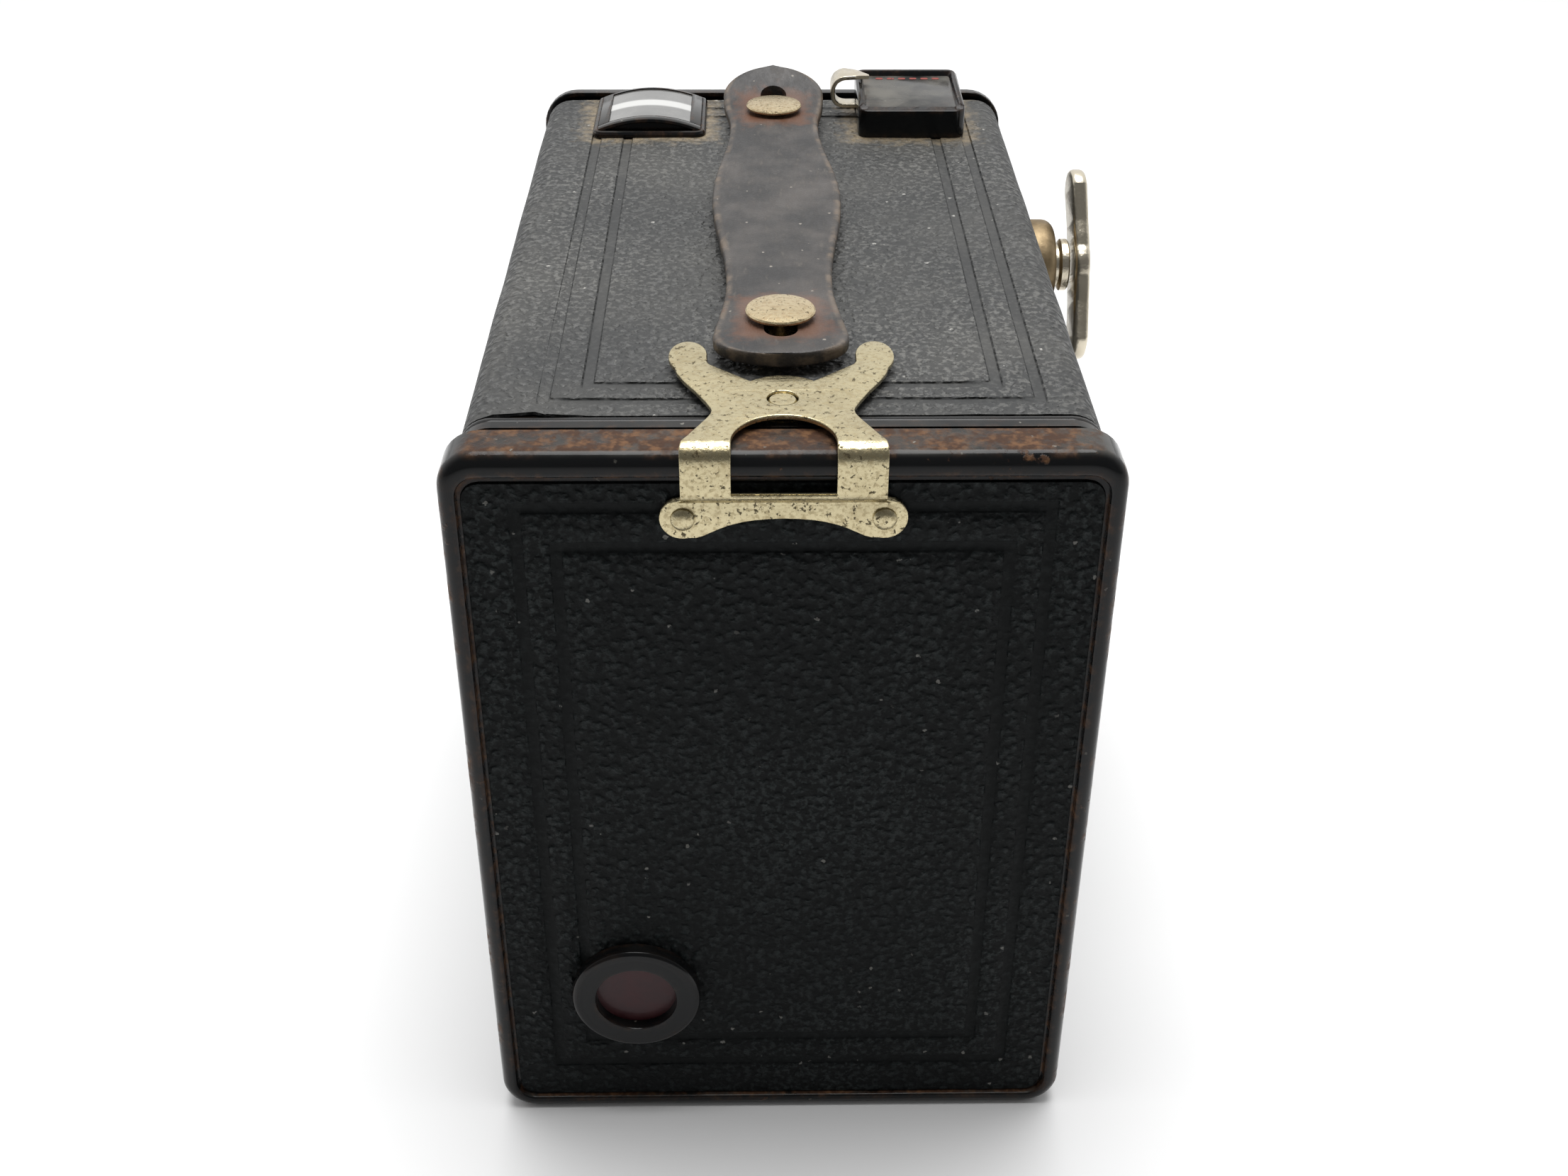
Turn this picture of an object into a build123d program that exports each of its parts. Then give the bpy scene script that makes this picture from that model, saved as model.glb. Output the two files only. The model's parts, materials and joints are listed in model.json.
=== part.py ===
"""Box camera for 6 x 9 cm pictures on 120 roll film: a steel box covered in leatherette.

Millimetres. +X is the winding-key side, +Y the way the lens looks, +Z up, and the
origin is the centre of the footprint. Depths are counted forward from the rear face
of the door by back(). Each sub-part is one node in parts/NODE.step.
"""
from build123d import *
from math import cos, radians, sin
import os

# ---------------------------------------------------------------- driving dimensions
WIDTH = 80.0            # over the leatherette
HEIGHT = 112.0          # floor to the top leatherette
DEPTH = 134.0           # rear face of the door to the front plate
CORNER = 4.5            # corner radius of the box
SHEET = 0.8             # steel sheet
SKIN = 0.4              # leatherette
RUNNING = 0.05          # radial clearance of a shaft in its hole

DOOR_WIDTH = 83.2
DOOR_LIP = 6.8          # depth of the door's flange
DOOR_CORNER = 5.0
DOOR_RIM = 2.7          # width of the raised rim round the door panel
PANEL_DEPTH = 1.1       # how far the door's panel is sunk behind its rim
SHELL_REAR = 7.2        # the shell and its hem start here
SKIN_REAR = 8.8         # the leatherette starts here
SHELL_FRONT = 130.0
RIM_REAR = 131.6        # rear edge of the front plate's turned-back rim
PLATE_WIDTH = 81.2
PLATE_HEIGHT = 112.8
PLATE_CORNER = 6.0

AXIS_Z = 56.0           # height of the lens axis
FILM_DEPTH = 12.4
GATE = (56.0, 83.0)     # picture opening, width and height
LENS_R = 8.0
LENS_DEPTH = 112.0
BOARD_DEPTH = 118.0     # rear face of the shutter board

ROLLER_DEPTH = 15.4
ROLLER_Z = (AXIS_Z + 48.6, AXIS_Z - 48.6)
ROLLER_PIN_R = 1.0
SPOOL_DEPTH = 91.0
TAKEUP_Z = 97.2
SUPPLY_Z = 14.8
SPOOL_FLANGE_R = 12.6
SPOOL_CORE_R = 6.0
SPOOL_HALF = 32.6       # half the spool's length
KEY_LEAN = 33.0         # the key's bar leans forward from upright by this, degrees
KEY_LENGTH = 31.0

FINDER_WIDTH = 19.0
FINDER_REAR = 110.2
FINDER_FRONT = 129.4
FINDER_CROWN = 3.6      # height of the arch above the wall
TOP_FINDER_X = -21.0
SIDE_FINDER_Z = 95.0

HOUSING_X = (14.2, 32.0)
HOUSING_DEPTH = (110.0, 128.6)
HOUSING_TOP = HEIGHT + 4.6
LEVER_PIVOT = (14.0, 104.0)      # x, z of the close-up lever's pin
LEVER_DEPTH = (120.6, 123.6)    # the finger tab's strip
LEVER_SWING = 13.5

STUD_DEPTHS = (31.6, 114.0)
STUD_HEAD_R = 4.6
STRAP_Z = (113.4, 115.4)
STRAP_HINGES = (37.0, 72.8, 108.6)
STRAP_JOINT_GAP = 0.9

WINDOW = (-20.8, 23.8)  # x, z of the red window
WINDOW_R = 9.2
WINDOW_HOLE_R = 5.7

HINGE_DEPTH = 8.3
HINGE_Z = 1.6
HINGE_R = 1.4
HINGE_PIN_R = 0.7
HINGE_LEAF_REAR = HINGE_DEPTH + HINGE_R + 0.3   # rear edge of the leaf that stays with the box
DOOR_LIP_FLAT = 36.8    # the door's lower lip is flat out to this x

SHUTTER_PIVOT = (0.0, 34.0)
RELEASE_PIVOT = (24.0, 34.0)
BLADE_TRAVEL = 56.0

TRIPOD_R = 4.1          # tapping size of the large tripod thread
TRIPOD_DEPTH = 50.0
TRIPOD_LENGTH = 4.0

REAR = -DEPTH / 2
os.makedirs("parts", exist_ok=True)


# ---------------------------------------------------------------- helpers
def back(depth):
    """Row Y of a point this far in front of the door's rear face."""
    return REAR + depth


def slab(x, depth, z):
    """Block between two x values, two depths and two heights."""
    size = (x[1] - x[0], depth[1] - depth[0], z[1] - z[0])
    middle = ((x[0] + x[1]) / 2, back((depth[0] + depth[1]) / 2), (z[0] + z[1]) / 2)
    return Pos(*middle) * Box(*size)


def along_y(sketch, depth0, depth1):
    """A sketch in x and z, carried from one depth to another."""
    plane = Plane((0, back(depth1), 0), x_dir=(1, 0, 0), z_dir=(0, -1, 0))
    return extrude(plane * sketch, amount=depth1 - depth0)


def along_x(sketch, x0, x1):
    """A sketch in y and z, carried from one x to another."""
    return extrude(Plane((x0, 0, 0), x_dir=(0, 1, 0), z_dir=(1, 0, 0)) * sketch, amount=x1 - x0)


def along_z(sketch, z0, z1):
    """A sketch in x and y, carried from one height to another."""
    return extrude(Plane((0, 0, z0)) * sketch, amount=z1 - z0)


def rod_x(depth, z, radius, x0, x1):
    return along_x(Pos(back(depth), z) * Circle(radius), x0, x1)


def rod_y(x, z, radius, depth0, depth1):
    return along_y(Pos(x, z) * Circle(radius), depth0, depth1)


def rod_z(x, depth, radius, z0, z1):
    return along_z(Pos(x, back(depth)) * Circle(radius), z0, z1)


def frame_section(width, z0, z1, radius, wall):
    """Section of a rounded rectangular tube, between two heights."""
    middle = Pos(0, (z0 + z1) / 2)
    outer = RectangleRounded(width, z1 - z0, radius)
    inner = RectangleRounded(width - 2 * wall, z1 - z0 - 2 * wall, max(radius - wall, 0.6))
    return middle * (outer - inner)


def turned(profile_points, x, z, depth):
    """A round piece about an axis along Y; its profile is (radius, depth offset) points."""
    wire = Polyline(*[(r, back(depth + d), 0) for r, d in profile_points], close=True)
    body = revolve(make_face(wire), axis=Axis((0, 0, 0), (0, 1, 0)))
    return Pos(x, 0, z) * body


def tapered_bar(start, r0, end, r1):
    """Flat bar with round ends of two sizes, as a sketch."""
    ends = (Pos(*start) * Circle(r0)).edges() + (Pos(*end) * Circle(r1)).edges()
    return make_hull(ends)


def save(node, shape):
    """Write one node; several solids go in as a compound."""
    solids = shape.solids()
    export_step(solids[0] if len(solids) == 1 else Compound(children=solids), f"parts/{node}.step")


# ---------------------------------------------------------------- box and front
def wall_openings():
    """Everything that passes through the walls of the box and its leatherette."""
    half = FINDER_WIDTH / 2 - 1.9
    depths = (FINDER_REAR + 1.8, FINDER_FRONT - 1.2)
    cuts = slab((TOP_FINDER_X - half, TOP_FINDER_X + half), depths, (105, HEIGHT + 1))
    cuts += slab((35, WIDTH / 2 + 1), depths, (SIDE_FINDER_Z - half, SIDE_FINDER_Z + half))
    cuts += slab((15.2, 22.4), (LEVER_DEPTH[0] - 0.5, 126.2), (105, HEIGHT + 1))
    cuts += rod_x(SPOOL_DEPTH, TAKEUP_Z, 4.8, 35, WIDTH / 2 + 1)
    cuts += slab((35, WIDTH / 2 + 1), (121.0, 123.2), (31.5, 46.5))
    cuts += slab((35, WIDTH / 2 + 1), (118.9, 120.1), (50.0, 62.0))
    cuts += slab((35, WIDTH / 2 + 1), (123.1, 124.4), (65.4, 70.6))
    cuts += rod_z(0, TRIPOD_DEPTH, 6.5, -1, 5)
    cuts += rod_x(TRIPOD_DEPTH, AXIS_Z, 6.5, -WIDTH / 2 - 1, -35)
    for depth in STUD_DEPTHS:
        cuts += rod_z(0, depth, 1.6, 105, HEIGHT + 1)
    cuts += rod_z(0, 11.9, 1.75, 105, HEIGHT + 1)
    return cuts


def hinge_room():
    """Gap in the floor for the hinge, and for the door's lower lip as it swings down."""
    return slab((-DOOR_LIP_FLAT, DOOR_LIP_FLAT), (SHELL_REAR - 1, HINGE_LEAF_REAR + 0.3), (-1, HINGE_Z + HINGE_R + 0.3))


def body_shell():
    z0, z1 = SKIN, HEIGHT - SKIN
    tube = along_y(frame_section(WIDTH - 2 * SKIN, z0, z1, CORNER - SKIN, SHEET), SHELL_REAR, SHELL_FRONT)
    hem = frame_section(WIDTH - 0.1, 0, HEIGHT - 0.05, CORNER, SHEET + SKIN - 0.1)
    tube += along_y(hem, SHELL_REAR, SKIN_REAR)
    return tube - hinge_room() - wall_openings()


def body_leatherette():
    section = frame_section(WIDTH, 0, HEIGHT, CORNER, SKIN)
    skin = along_y(section, SKIN_REAR, SHELL_FRONT - 0.2)
    return skin - hinge_room() - wall_openings()


def light_trap_sleeve():
    """Inner sleeve that the door closes over."""
    section = frame_section(WIDTH - 2 * (SKIN + SHEET), 3.5, HEIGHT - SKIN - SHEET, 3.3, 0.7)
    return along_y(section, 2.6, 11.8) - rod_z(0, 11.9, 1.75, 105, HEIGHT)


def front_collar():
    """Inner sleeve that ties the front plate to the shell."""
    inside = SKIN + SHEET
    section = frame_section(WIDTH - 2 * inside, inside, HEIGHT - inside, 3.3, 0.7)
    return along_y(section, 128.3, DEPTH - SHEET)


def front_plate():
    middle = Pos(0, PLATE_HEIGHT / 2)
    outline = RectangleRounded(PLATE_WIDTH, PLATE_HEIGHT, PLATE_CORNER)
    plate = along_y(middle * outline, RIM_REAR, DEPTH)
    plate = fillet(plate.faces().sort_by(Axis.Y)[-1].edges(), 1.1)
    inside = RectangleRounded(PLATE_WIDTH - 2 * SHEET, PLATE_HEIGHT - 2 * SHEET, PLATE_CORNER - SHEET)
    plate -= along_y(middle * inside, RIM_REAR - 1, DEPTH - SHEET)
    plate -= rod_y(0, AXIS_Z, LENS_R + 1, 130, DEPTH + 1)
    for x, z in OBJECTIVES:
        plate -= rod_y(x, z, 5.6, 130, DEPTH + 1)
    for x, z in PLATE_SCREWS:
        plate -= rod_y(x, z, 1.1, 130, DEPTH + 1)
    return plate


OBJECTIVES = ((TOP_FINDER_X, HEIGHT - 11.0), (WIDTH / 2 - 10.0, SIDE_FINDER_Z))
PLATE_SCREWS = tuple((x, z) for x in (-34.5, 34.5) for z in (6.2, 78.0))


def plate_screws():
    group = Part()
    for x, z in PLATE_SCREWS:
        head = rod_y(x, z, 2.1, DEPTH, DEPTH + 0.9)
        head = fillet(head.faces().sort_by(Axis.Y)[-1].edges(), 0.6)
        slot = Pos(x, back(DEPTH + 0.9), z) * Rot(0, 35 + x, 0) * Box(4.4, 0.7, 0.5)
        group += head + rod_y(x, z, 1.1, DEPTH - 3.2, DEPTH) - slot
    return group


def lens_bezel():
    profile = [(LENS_R + 1, -0.8), (LENS_R + 1, 0), (14.4, 0), (14.4, 0.7), (13.0, 2.0), (11.6, 2.4),
               (10.6, 2.4), (8.4, 1.2), (6.6, -1.2), (6.6, -1.8), (7.2, -1.8), (7.2, -0.8)]
    return turned(profile, 0, AXIS_Z, DEPTH)


def objective_bezel(x, z):
    profile = [(5.6, -0.8), (5.6, 0), (7.4, 0), (7.4, 0.5), (6.9, 1.1), (5.9, 1.3), (4.9, 0.9), (4.9, -0.8)]
    return turned(profile, x, z, DEPTH)


def objective_lens(x, z):
    """Plano-convex finder objective, seated behind its bezel."""
    front = ThreePointArc((0, back(DEPTH + 0.5), 0), (2.6, back(DEPTH + 0.3), 0), (4.9, back(DEPTH - 0.4), 0))
    rim = Polyline((4.9, back(DEPTH - 0.4), 0), (4.9, back(DEPTH - 0.8), 0), (0, back(DEPTH - 0.8), 0),
                   (0, back(DEPTH + 0.5), 0))
    return Pos(x, 0, z) * revolve(make_face(front + rim), axis=Axis((0, 0, 0), (0, 1, 0)))


# ---------------------------------------------------------------- finders
def arch(width, foot, crown, thickness):
    """Section of an arched sheet: local x across it, local y outward from the wall."""
    half = width / 2
    outer = ThreePointArc((-half, foot), (0, crown), (half, foot))
    inner = ThreePointArc((-half + thickness, foot), (0, crown - thickness), (half - thickness, foot))
    return make_face(outer + inner + Line((-half, foot), (-half + thickness, foot))
                     + Line((half, foot), (half - thickness, foot)))


def finder_frame():
    """Arched frame over the top finder's glass, on its flange."""
    half = FINDER_WIDTH / 2
    flange = slab((-half, half), (FINDER_REAR, FINDER_FRONT), (HEIGHT, HEIGHT + 0.9))
    flange = fillet(flange.edges().filter_by(Axis.Z), 1.0)
    flange = fillet(flange.faces().sort_by(Axis.Z)[-1].edges(), 0.35)
    hood = along_y(arch(FINDER_WIDTH - 1.8, HEIGHT + 0.8, HEIGHT + FINDER_CROWN, 1.0),
                   FINDER_REAR + 1.2, FINDER_FRONT - 0.3)
    window = slab((-6.9, 6.9), (FINDER_REAR + 2.9, FINDER_FRONT - 1.8), (HEIGHT + 1.2, HEIGHT + 5))
    well = slab((-7.4, 7.4), (FINDER_REAR + 2.0, FINDER_FRONT - 1.2), (HEIGHT - 1, HEIGHT + 1.0))
    return flange + (hood - window) - well


def finder_glass():
    """Curved viewing glass under the arch."""
    sheet = arch(FINDER_WIDTH - 3.9, HEIGHT + 0.6, HEIGHT + FINDER_CROWN - 1.0, 1.0)
    glass = along_y(sheet, FINDER_REAR + 2.1, FINDER_FRONT - 1.3)
    return glass & slab((-7.35, 7.35), (100, 132), (HEIGHT + 0.6, HEIGHT + 5))


def finder_box():
    """Light-tight box under the top finder, open above and in front."""
    half = FINDER_WIDTH / 2 - 2.0
    depths = (FINDER_REAR + 1.9, FINDER_FRONT - 1.3)
    low, high = HEIGHT - 17.4, HEIGHT - 0.1
    box = slab((-half, half), depths, (low, high))
    box -= slab((-half + 0.5, half - 0.5), (depths[0] + 0.5, depths[1] + 1), (low + 0.5, high + 1))
    return box


def finder_mirror():
    """Mirror at 45 degrees that turns the view up to the glass."""
    slope = Polyline((back(126.9), HEIGHT - 16.6), (back(112.9), HEIGHT - 2.6), (back(112.9), HEIGHT - 4.0),
                     (back(125.5), HEIGHT - 16.6), close=True)
    return along_x(make_face(slope), -6.7, 6.7)


def as_top_finder(piece):
    return Pos(TOP_FINDER_X, 0, 0) * piece


def as_side_finder(piece):
    """The same finder turned a quarter about Y, onto the key side."""
    return Pos(WIDTH / 2, 0, SIDE_FINDER_Z) * Rot(0, 90, 0) * (Pos(0, 0, -HEIGHT) * piece)


# ---------------------------------------------------------------- close-up lens and its lever
def portrait_housing():
    """Cap over the lever's top, with a bead on three sides and a step for its label plate."""
    outer = slab(HOUSING_X, HOUSING_DEPTH, (HEIGHT, HOUSING_TOP + 0.8))
    outer = fillet(outer.edges().filter_by(Axis.Z), 1.6)
    tray = slab((HOUSING_X[0] + 1.5, HOUSING_X[1] - 1.5), (HOUSING_DEPTH[0] - 1, HOUSING_DEPTH[1] - 1.5),
                (HOUSING_TOP - 0.5, HOUSING_TOP + 2))
    near_step = slab((HOUSING_X[0] - 1, HOUSING_X[1] + 1), (HOUSING_DEPTH[0] - 1, HOUSING_DEPTH[0] + 0.8),
                     (HOUSING_TOP - 0.1, HOUSING_TOP + 2))
    hollow = slab((HOUSING_X[0] + 1, HOUSING_X[1] - 1), (HOUSING_DEPTH[0] + 1, HOUSING_DEPTH[1] - 1),
                  (HEIGHT - 1, HOUSING_TOP - 1.3))
    notch = slab((HOUSING_X[0] - 1, HOUSING_X[0] + 1.5), (LEVER_DEPTH[0] - 0.3, LEVER_DEPTH[1] + 0.3),
                 (HEIGHT - 1, HEIGHT + 2.9))
    return outer - tray - near_step - hollow - notch


def label_plate():
    return slab((HOUSING_X[0] + 1.7, HOUSING_X[1] - 1.7), (HOUSING_DEPTH[0] + 0.9, HOUSING_DEPTH[1] - 1.7),
                (HOUSING_TOP - 0.5, HOUSING_TOP - 0.1))


def lens_place(swing):
    """x, z of the close-up lens's centre with its lever at this angle from rest."""
    px, pz = LEVER_PIVOT
    dx, dz = -px, AXIS_Z - pz
    turn = radians(LEVER_SWING - swing)
    return px + dx * cos(turn) - dz * sin(turn), pz + dx * sin(turn) + dz * cos(turn)


def portrait_lever():
    """Flat arm on its pin, with the finger tab bent up out of the housing and over its top."""
    px, pz = LEVER_PIVOT
    lx, lz = lens_place(0)
    plate = (124.6, 125.4)
    arm = tapered_bar((px, pz), 3.4, (lx, lz + 8.4), 3.0)
    upper = tapered_bar((px, pz), 3.4, (17.4, HEIGHT - 5), 1.5)
    lever = along_y(arm + upper + Pos(lx, lz) * Circle(7.2), *plate)
    lever += slab((15.9, 18.9), plate, (HEIGHT - 5, HEIGHT + 2.3))
    tab_x = 10.0
    strip = Sketch() + [
        Pos((tab_x + 18.9) / 2, HEIGHT + 1.9) * Rectangle(18.9 - tab_x, 0.8),
        Pos(tab_x + 0.4, HEIGHT + 4.25) * Rectangle(0.8, 5.5),
        Pos((tab_x + 17.4) / 2, HEIGHT + 6.6) * Rectangle(17.4 - tab_x, 0.8),
    ]
    lever += along_y(strip, *LEVER_DEPTH)
    lever += slab((15.9, 18.9), (LEVER_DEPTH[1] - 0.5, plate[1]), (HEIGHT + 1.5, HEIGHT + 2.3))
    lever -= rod_y(px, pz, 1.4 + RUNNING, plate[0] - 1, plate[1] + 1)
    lever -= rod_y(lx, lz, 6.0, plate[0] - 1, plate[1] + 1)
    return lever


def portrait_lens_ring():
    lx, lz = lens_place(0)
    return turned([(6.0, 0), (7.1, 0), (7.1, 1.2), (5.4, 1.2), (5.4, 0.8), (6.0, 0.8)], lx, lz, 125.4)


def portrait_lens():
    """Weak close-up lens held by its ring."""
    lx, lz = lens_place(0)
    front = ThreePointArc((0, back(126.1), 0), (3.1, back(126.0), 0), (6.0, back(125.6), 0))
    rim = Polyline((6.0, back(125.6), 0), (6.0, back(124.7), 0), (0, back(124.7), 0), (0, back(126.1), 0))
    return Pos(lx, 0, lz) * revolve(make_face(front + rim), axis=Axis((0, 0, 0), (0, 1, 0)))


def portrait_pivot():
    """Bracket from the front collar with the pin that the lever turns on."""
    px, pz = LEVER_PIVOT
    bracket = slab((px - 4.5, px + 4.5), (127.2, 128.0), (pz - 5, HEIGHT - SKIN - SHEET))
    pin = rod_y(px, pz, 1.4, 123.9, 127.2) + rod_y(px, pz, 2.4, 126.0, 127.2)
    return bracket + pin + rod_y(px, pz, 2.2, 123.9, 124.4)


# ---------------------------------------------------------------- shutter and main lens
def shutter_board():
    """Pan behind the front: board, side flanges and the guides of both slides."""
    side = WIDTH / 2 - SKIN - SHEET - 0.7
    board = slab((-side, side), (BOARD_DEPTH, BOARD_DEPTH + SHEET), (4, 84))
    for sign in (-1, 1):
        x = sorted((sign * side, sign * (side - SHEET)))
        board += slab(x, (BOARD_DEPTH, 130.0), (8, 30))
        board += slab(x, (BOARD_DEPTH, 130.0), (72.5, 84))
    for z in (49.0, 61.9):
        guide = slab((6, 34), (BOARD_DEPTH + SHEET, BOARD_DEPTH + 2.1), (z, z + 1.1))
        board += guide + Pos(-40, 0, 0) * guide
    guide = slab((20, 34), (BOARD_DEPTH + SHEET, 125.0), (65.0, 71.0))
    guide -= slab((19, 35), (122.9, 124.4), (65.7, 70.3))
    guide -= slab((19, 35), (BOARD_DEPTH + 1.8, 122.2), (65.7, 72.0))
    return board + guide - rod_y(0, AXIS_Z, 6.0, 110, 130)


def shutter_pins():
    group = Part()
    for x, z in (SHUTTER_PIVOT, RELEASE_PIVOT):
        group += rod_y(x, z, 1.3, BOARD_DEPTH + SHEET, 124.4) + rod_y(x, z, 2.4, 124.4, 125.0)
    return group


def lens_cell():
    return turned([(LENS_R, -3.2), (10.8, -3.2), (10.8, 6.0), (6.2, 6.0), (6.2, 5.0), (7.4, 1.6), (LENS_R, 1.6)],
                  0, AXIS_Z, LENS_DEPTH)


def main_lens():
    """Meniscus, hollow towards the shutter."""
    rear, front = LENS_DEPTH - 2.4, LENS_DEPTH - 0.1
    rear_r, front_r = 20.8, 32.5
    disc = rod_y(0, AXIS_Z, LENS_R, rear, LENS_DEPTH + 0.9)
    bulge = Pos(0, back(rear + rear_r), AXIS_Z) * Sphere(rear_r)
    hollow = Pos(0, back(front + front_r), AXIS_Z) * Sphere(front_r)
    return (disc & bulge) - hollow


def lens_retaining_ring():
    return turned([(6.6, -3.2), (LENS_R, -3.2), (LENS_R, -0.9), (7.2, -1.5), (6.6, -2.2)], 0, AXIS_Z, LENS_DEPTH)


def aperture_strip():
    """Sliding strip with two stops and a pull tab outside the box."""
    depth = (BOARD_DEPTH + SHEET + 0.4, BOARD_DEPTH + SHEET + 0.9)
    strip = slab((-22, 43.5), depth, (50.4, 61.6))
    strip += slab((43.0, 43.6), (depth[0], depth[0] + 4.6), (52.0, 60.0))
    strip -= rod_y(0, AXIS_Z, 4.3, 110, 130)
    strip -= rod_y(-12, AXIS_Z, 2.7, 110, 130)
    return strip


def shutter_blade():
    """Fan-shaped blade with a round port, parked to one side of the lens axis."""
    px, pz = SHUTTER_PIVOT
    reach = 30.0
    rest = BLADE_TRAVEL / 2
    spread = 42.0
    rim = [(reach * sin(radians(a)), reach * cos(radians(a))) for a in (-spread, 0, spread)]
    fan = make_face(ThreePointArc(*rim) + Polyline(rim[2], (3.0, -2.0), (-3.0, -2.0), rim[0]))
    fan = fan + Circle(5.0) - Circle(1.3 + RUNNING) - Pos(0, AXIS_Z - pz) * Circle(5.2)
    return along_y(Pos(px, pz) * Rot(0, 0, -rest) * fan, BOARD_DEPTH + 2.4, BOARD_DEPTH + 2.8)


def release_lever():
    """Two-armed lever: the long arm ends in the thumb pad outside the box."""
    px, pz = RELEASE_PIVOT
    long_arm = tapered_bar((0, 0), 3.2, (17.6, 6.8), 1.9)
    short_arm = tapered_bar((0, 0), 3.2, (-13.5, -0.6), 1.4)
    flat = long_arm + short_arm - Circle(1.3 + RUNNING)
    lever = along_y(Pos(px, pz) * flat, 121.6, 122.6)
    pad = slab((41.2, 46.6), (121.6, 122.6), (38.9, 42.7))
    pad += slab((44.2, 46.6), (119.4, 124.8), (39.6, 42.0))
    return lever + fillet(pad.edges().filter_by(Axis.Y), 0.5)


def time_slide():
    """Tab that is pulled out for time exposures."""
    strip = slab((16, 44.0), (123.4, 124.1), (66.0, 70.0))
    return strip + slab((43.4, 44.0), (122.0, 125.6), (66.0, 70.0))


def shutter_spring():
    """Torsion spring round the release pin, with its two legs."""
    px, pz = RELEASE_PIVOT
    wire_r, coil_r, pitch, turns = 0.2, 1.65, 0.5, 2
    coil = Helix(pitch=pitch, height=pitch * turns, radius=coil_r)
    wire = sweep(Plane(coil @ 0, z_dir=coil % 0) * Circle(wire_r), path=coil)
    leg = Pos(coil_r, 0, 0) * Rot(90, 0, 0) * Cylinder(wire_r, 6.0, align=(Align.CENTER, Align.CENTER, Align.MIN))
    other = Pos(coil_r, 0, pitch * turns) * Rot(-90, 0, 0) * Cylinder(
        wire_r, 5.0, align=(Align.CENTER, Align.CENTER, Align.MIN))
    return Pos(px, back(124.1), pz) * Rot(90, 0, 0) * (wire + leg + other)


# ---------------------------------------------------------------- film carriage
def rectangle_at(depth, half_x, half_z):
    plane = Plane((0, back(depth), AXIS_Z), x_dir=(1, 0, 0), z_dir=(0, -1, 0))
    return plane * Rectangle(2 * half_x, 2 * half_z)


def carriage_cone():
    """Tapered light tunnel between the lens and the picture opening."""
    rear, front = 14.0, 106.0
    half = (GATE[0] / 2, GATE[1] / 2)
    outer = loft([rectangle_at(rear, half[0] + SHEET, half[1] + SHEET), rectangle_at(front, 13.0, 13.0)], ruled=True)
    inner = loft([rectangle_at(rear - 0.01, *half), rectangle_at(front + 0.01, 13 - SHEET, 13 - SHEET)], ruled=True)
    return outer - inner


def film_gate():
    """Plate with the picture opening that the film runs over."""
    plate = slab((-35.0, 35.0), (FILM_DEPTH, 14.0), (AXIS_Z - 45.5, AXIS_Z + 45.5))
    plate -= slab((-GATE[0] / 2, GATE[0] / 2), (10, 20), (AXIS_Z - GATE[1] / 2, AXIS_Z + GATE[1] / 2))
    return fillet(plate.faces().sort_by(Axis.Y)[0].edges().filter_by(Axis.X).sort_by(Axis.Z)[0::3], 0.8)


def carriage_side(sign):
    """Side plate that carries the spools and rollers, with folded runners above and below."""
    low, high, front = 4.0, 108.4, 106.0
    outline = Polyline((back(12.4), 6.0), (back(22), low), (back(front), low), (back(front), high),
                       (back(22), high), (back(12.4), 106.2), close=True)
    x = sorted((sign * 35.0, sign * 35.8))
    side = along_x(make_face(outline), *x)
    runner = sorted((sign * 35.8, sign * (WIDTH / 2 - SKIN - SHEET - 0.6)))
    side += slab(runner, (22, front), (low, low + SHEET)) + slab(runner, (22, front), (high - SHEET, high))
    for z in ROLLER_Z:
        side -= rod_x(ROLLER_DEPTH, z, ROLLER_PIN_R + RUNNING, -40, 40)
    if sign > 0:
        side -= rod_x(SPOOL_DEPTH, TAKEUP_Z, 4.0, 30, 37)
    return side


def spool(z):
    """Spool: wooden core and two steel flanges, with the end holes for pin and key blade."""
    body = rod_x(SPOOL_DEPTH, z, SPOOL_CORE_R, -SPOOL_HALF, SPOOL_HALF)
    for sign in (-1, 1):
        x = sorted((sign * SPOOL_HALF, sign * (SPOOL_HALF - 0.8)))
        body += rod_x(SPOOL_DEPTH, z, SPOOL_FLANGE_R, *x)
        hole = sorted((sign * (SPOOL_HALF + 1), sign * (SPOOL_HALF - 6)))
        body -= rod_x(SPOOL_DEPTH, z, 2.7, *hole)
        slot = Pos(sign * (SPOOL_HALF - 2), back(SPOOL_DEPTH), z) * Rot(-KEY_LEAN, 0, 0) * Box(8, 1.6, 10.4)
        body -= slot
    body -= slab((-27, 27), (SPOOL_DEPTH - 0.6, SPOOL_DEPTH + 0.6), (z - 3.0, z + 3.0))
    return body


def spool_pins():
    """Studs in the side plates that the spools turn on, away from the key."""
    group = Part()
    for sign, z in ((-1, TAKEUP_Z), (-1, SUPPLY_Z), (1, SUPPLY_Z)):
        x = sorted((sign * 35.0, sign * 29.6))
        group += rod_x(SPOOL_DEPTH, z, 2.65, *x)
    return group


def spool_springs():
    """Leaf springs that keep a little drag on each spool."""
    group = Part()
    for z in (TAKEUP_Z, SUPPLY_Z):
        group += slab((-34.5, 34.5), (107.0, 107.5), (z - 3, z + 3))
        for x in (-35.0, 34.5):
            group += slab((x, x + 0.5), (99.0, 107.5), (z - 3, z + 3))
    return group


def film_roller(z):
    barrel = rod_x(ROLLER_DEPTH, z, 2.3, -34.0, 34.0)
    return barrel + rod_x(ROLLER_DEPTH, z, ROLLER_PIN_R, -35.7, 35.7)


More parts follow.
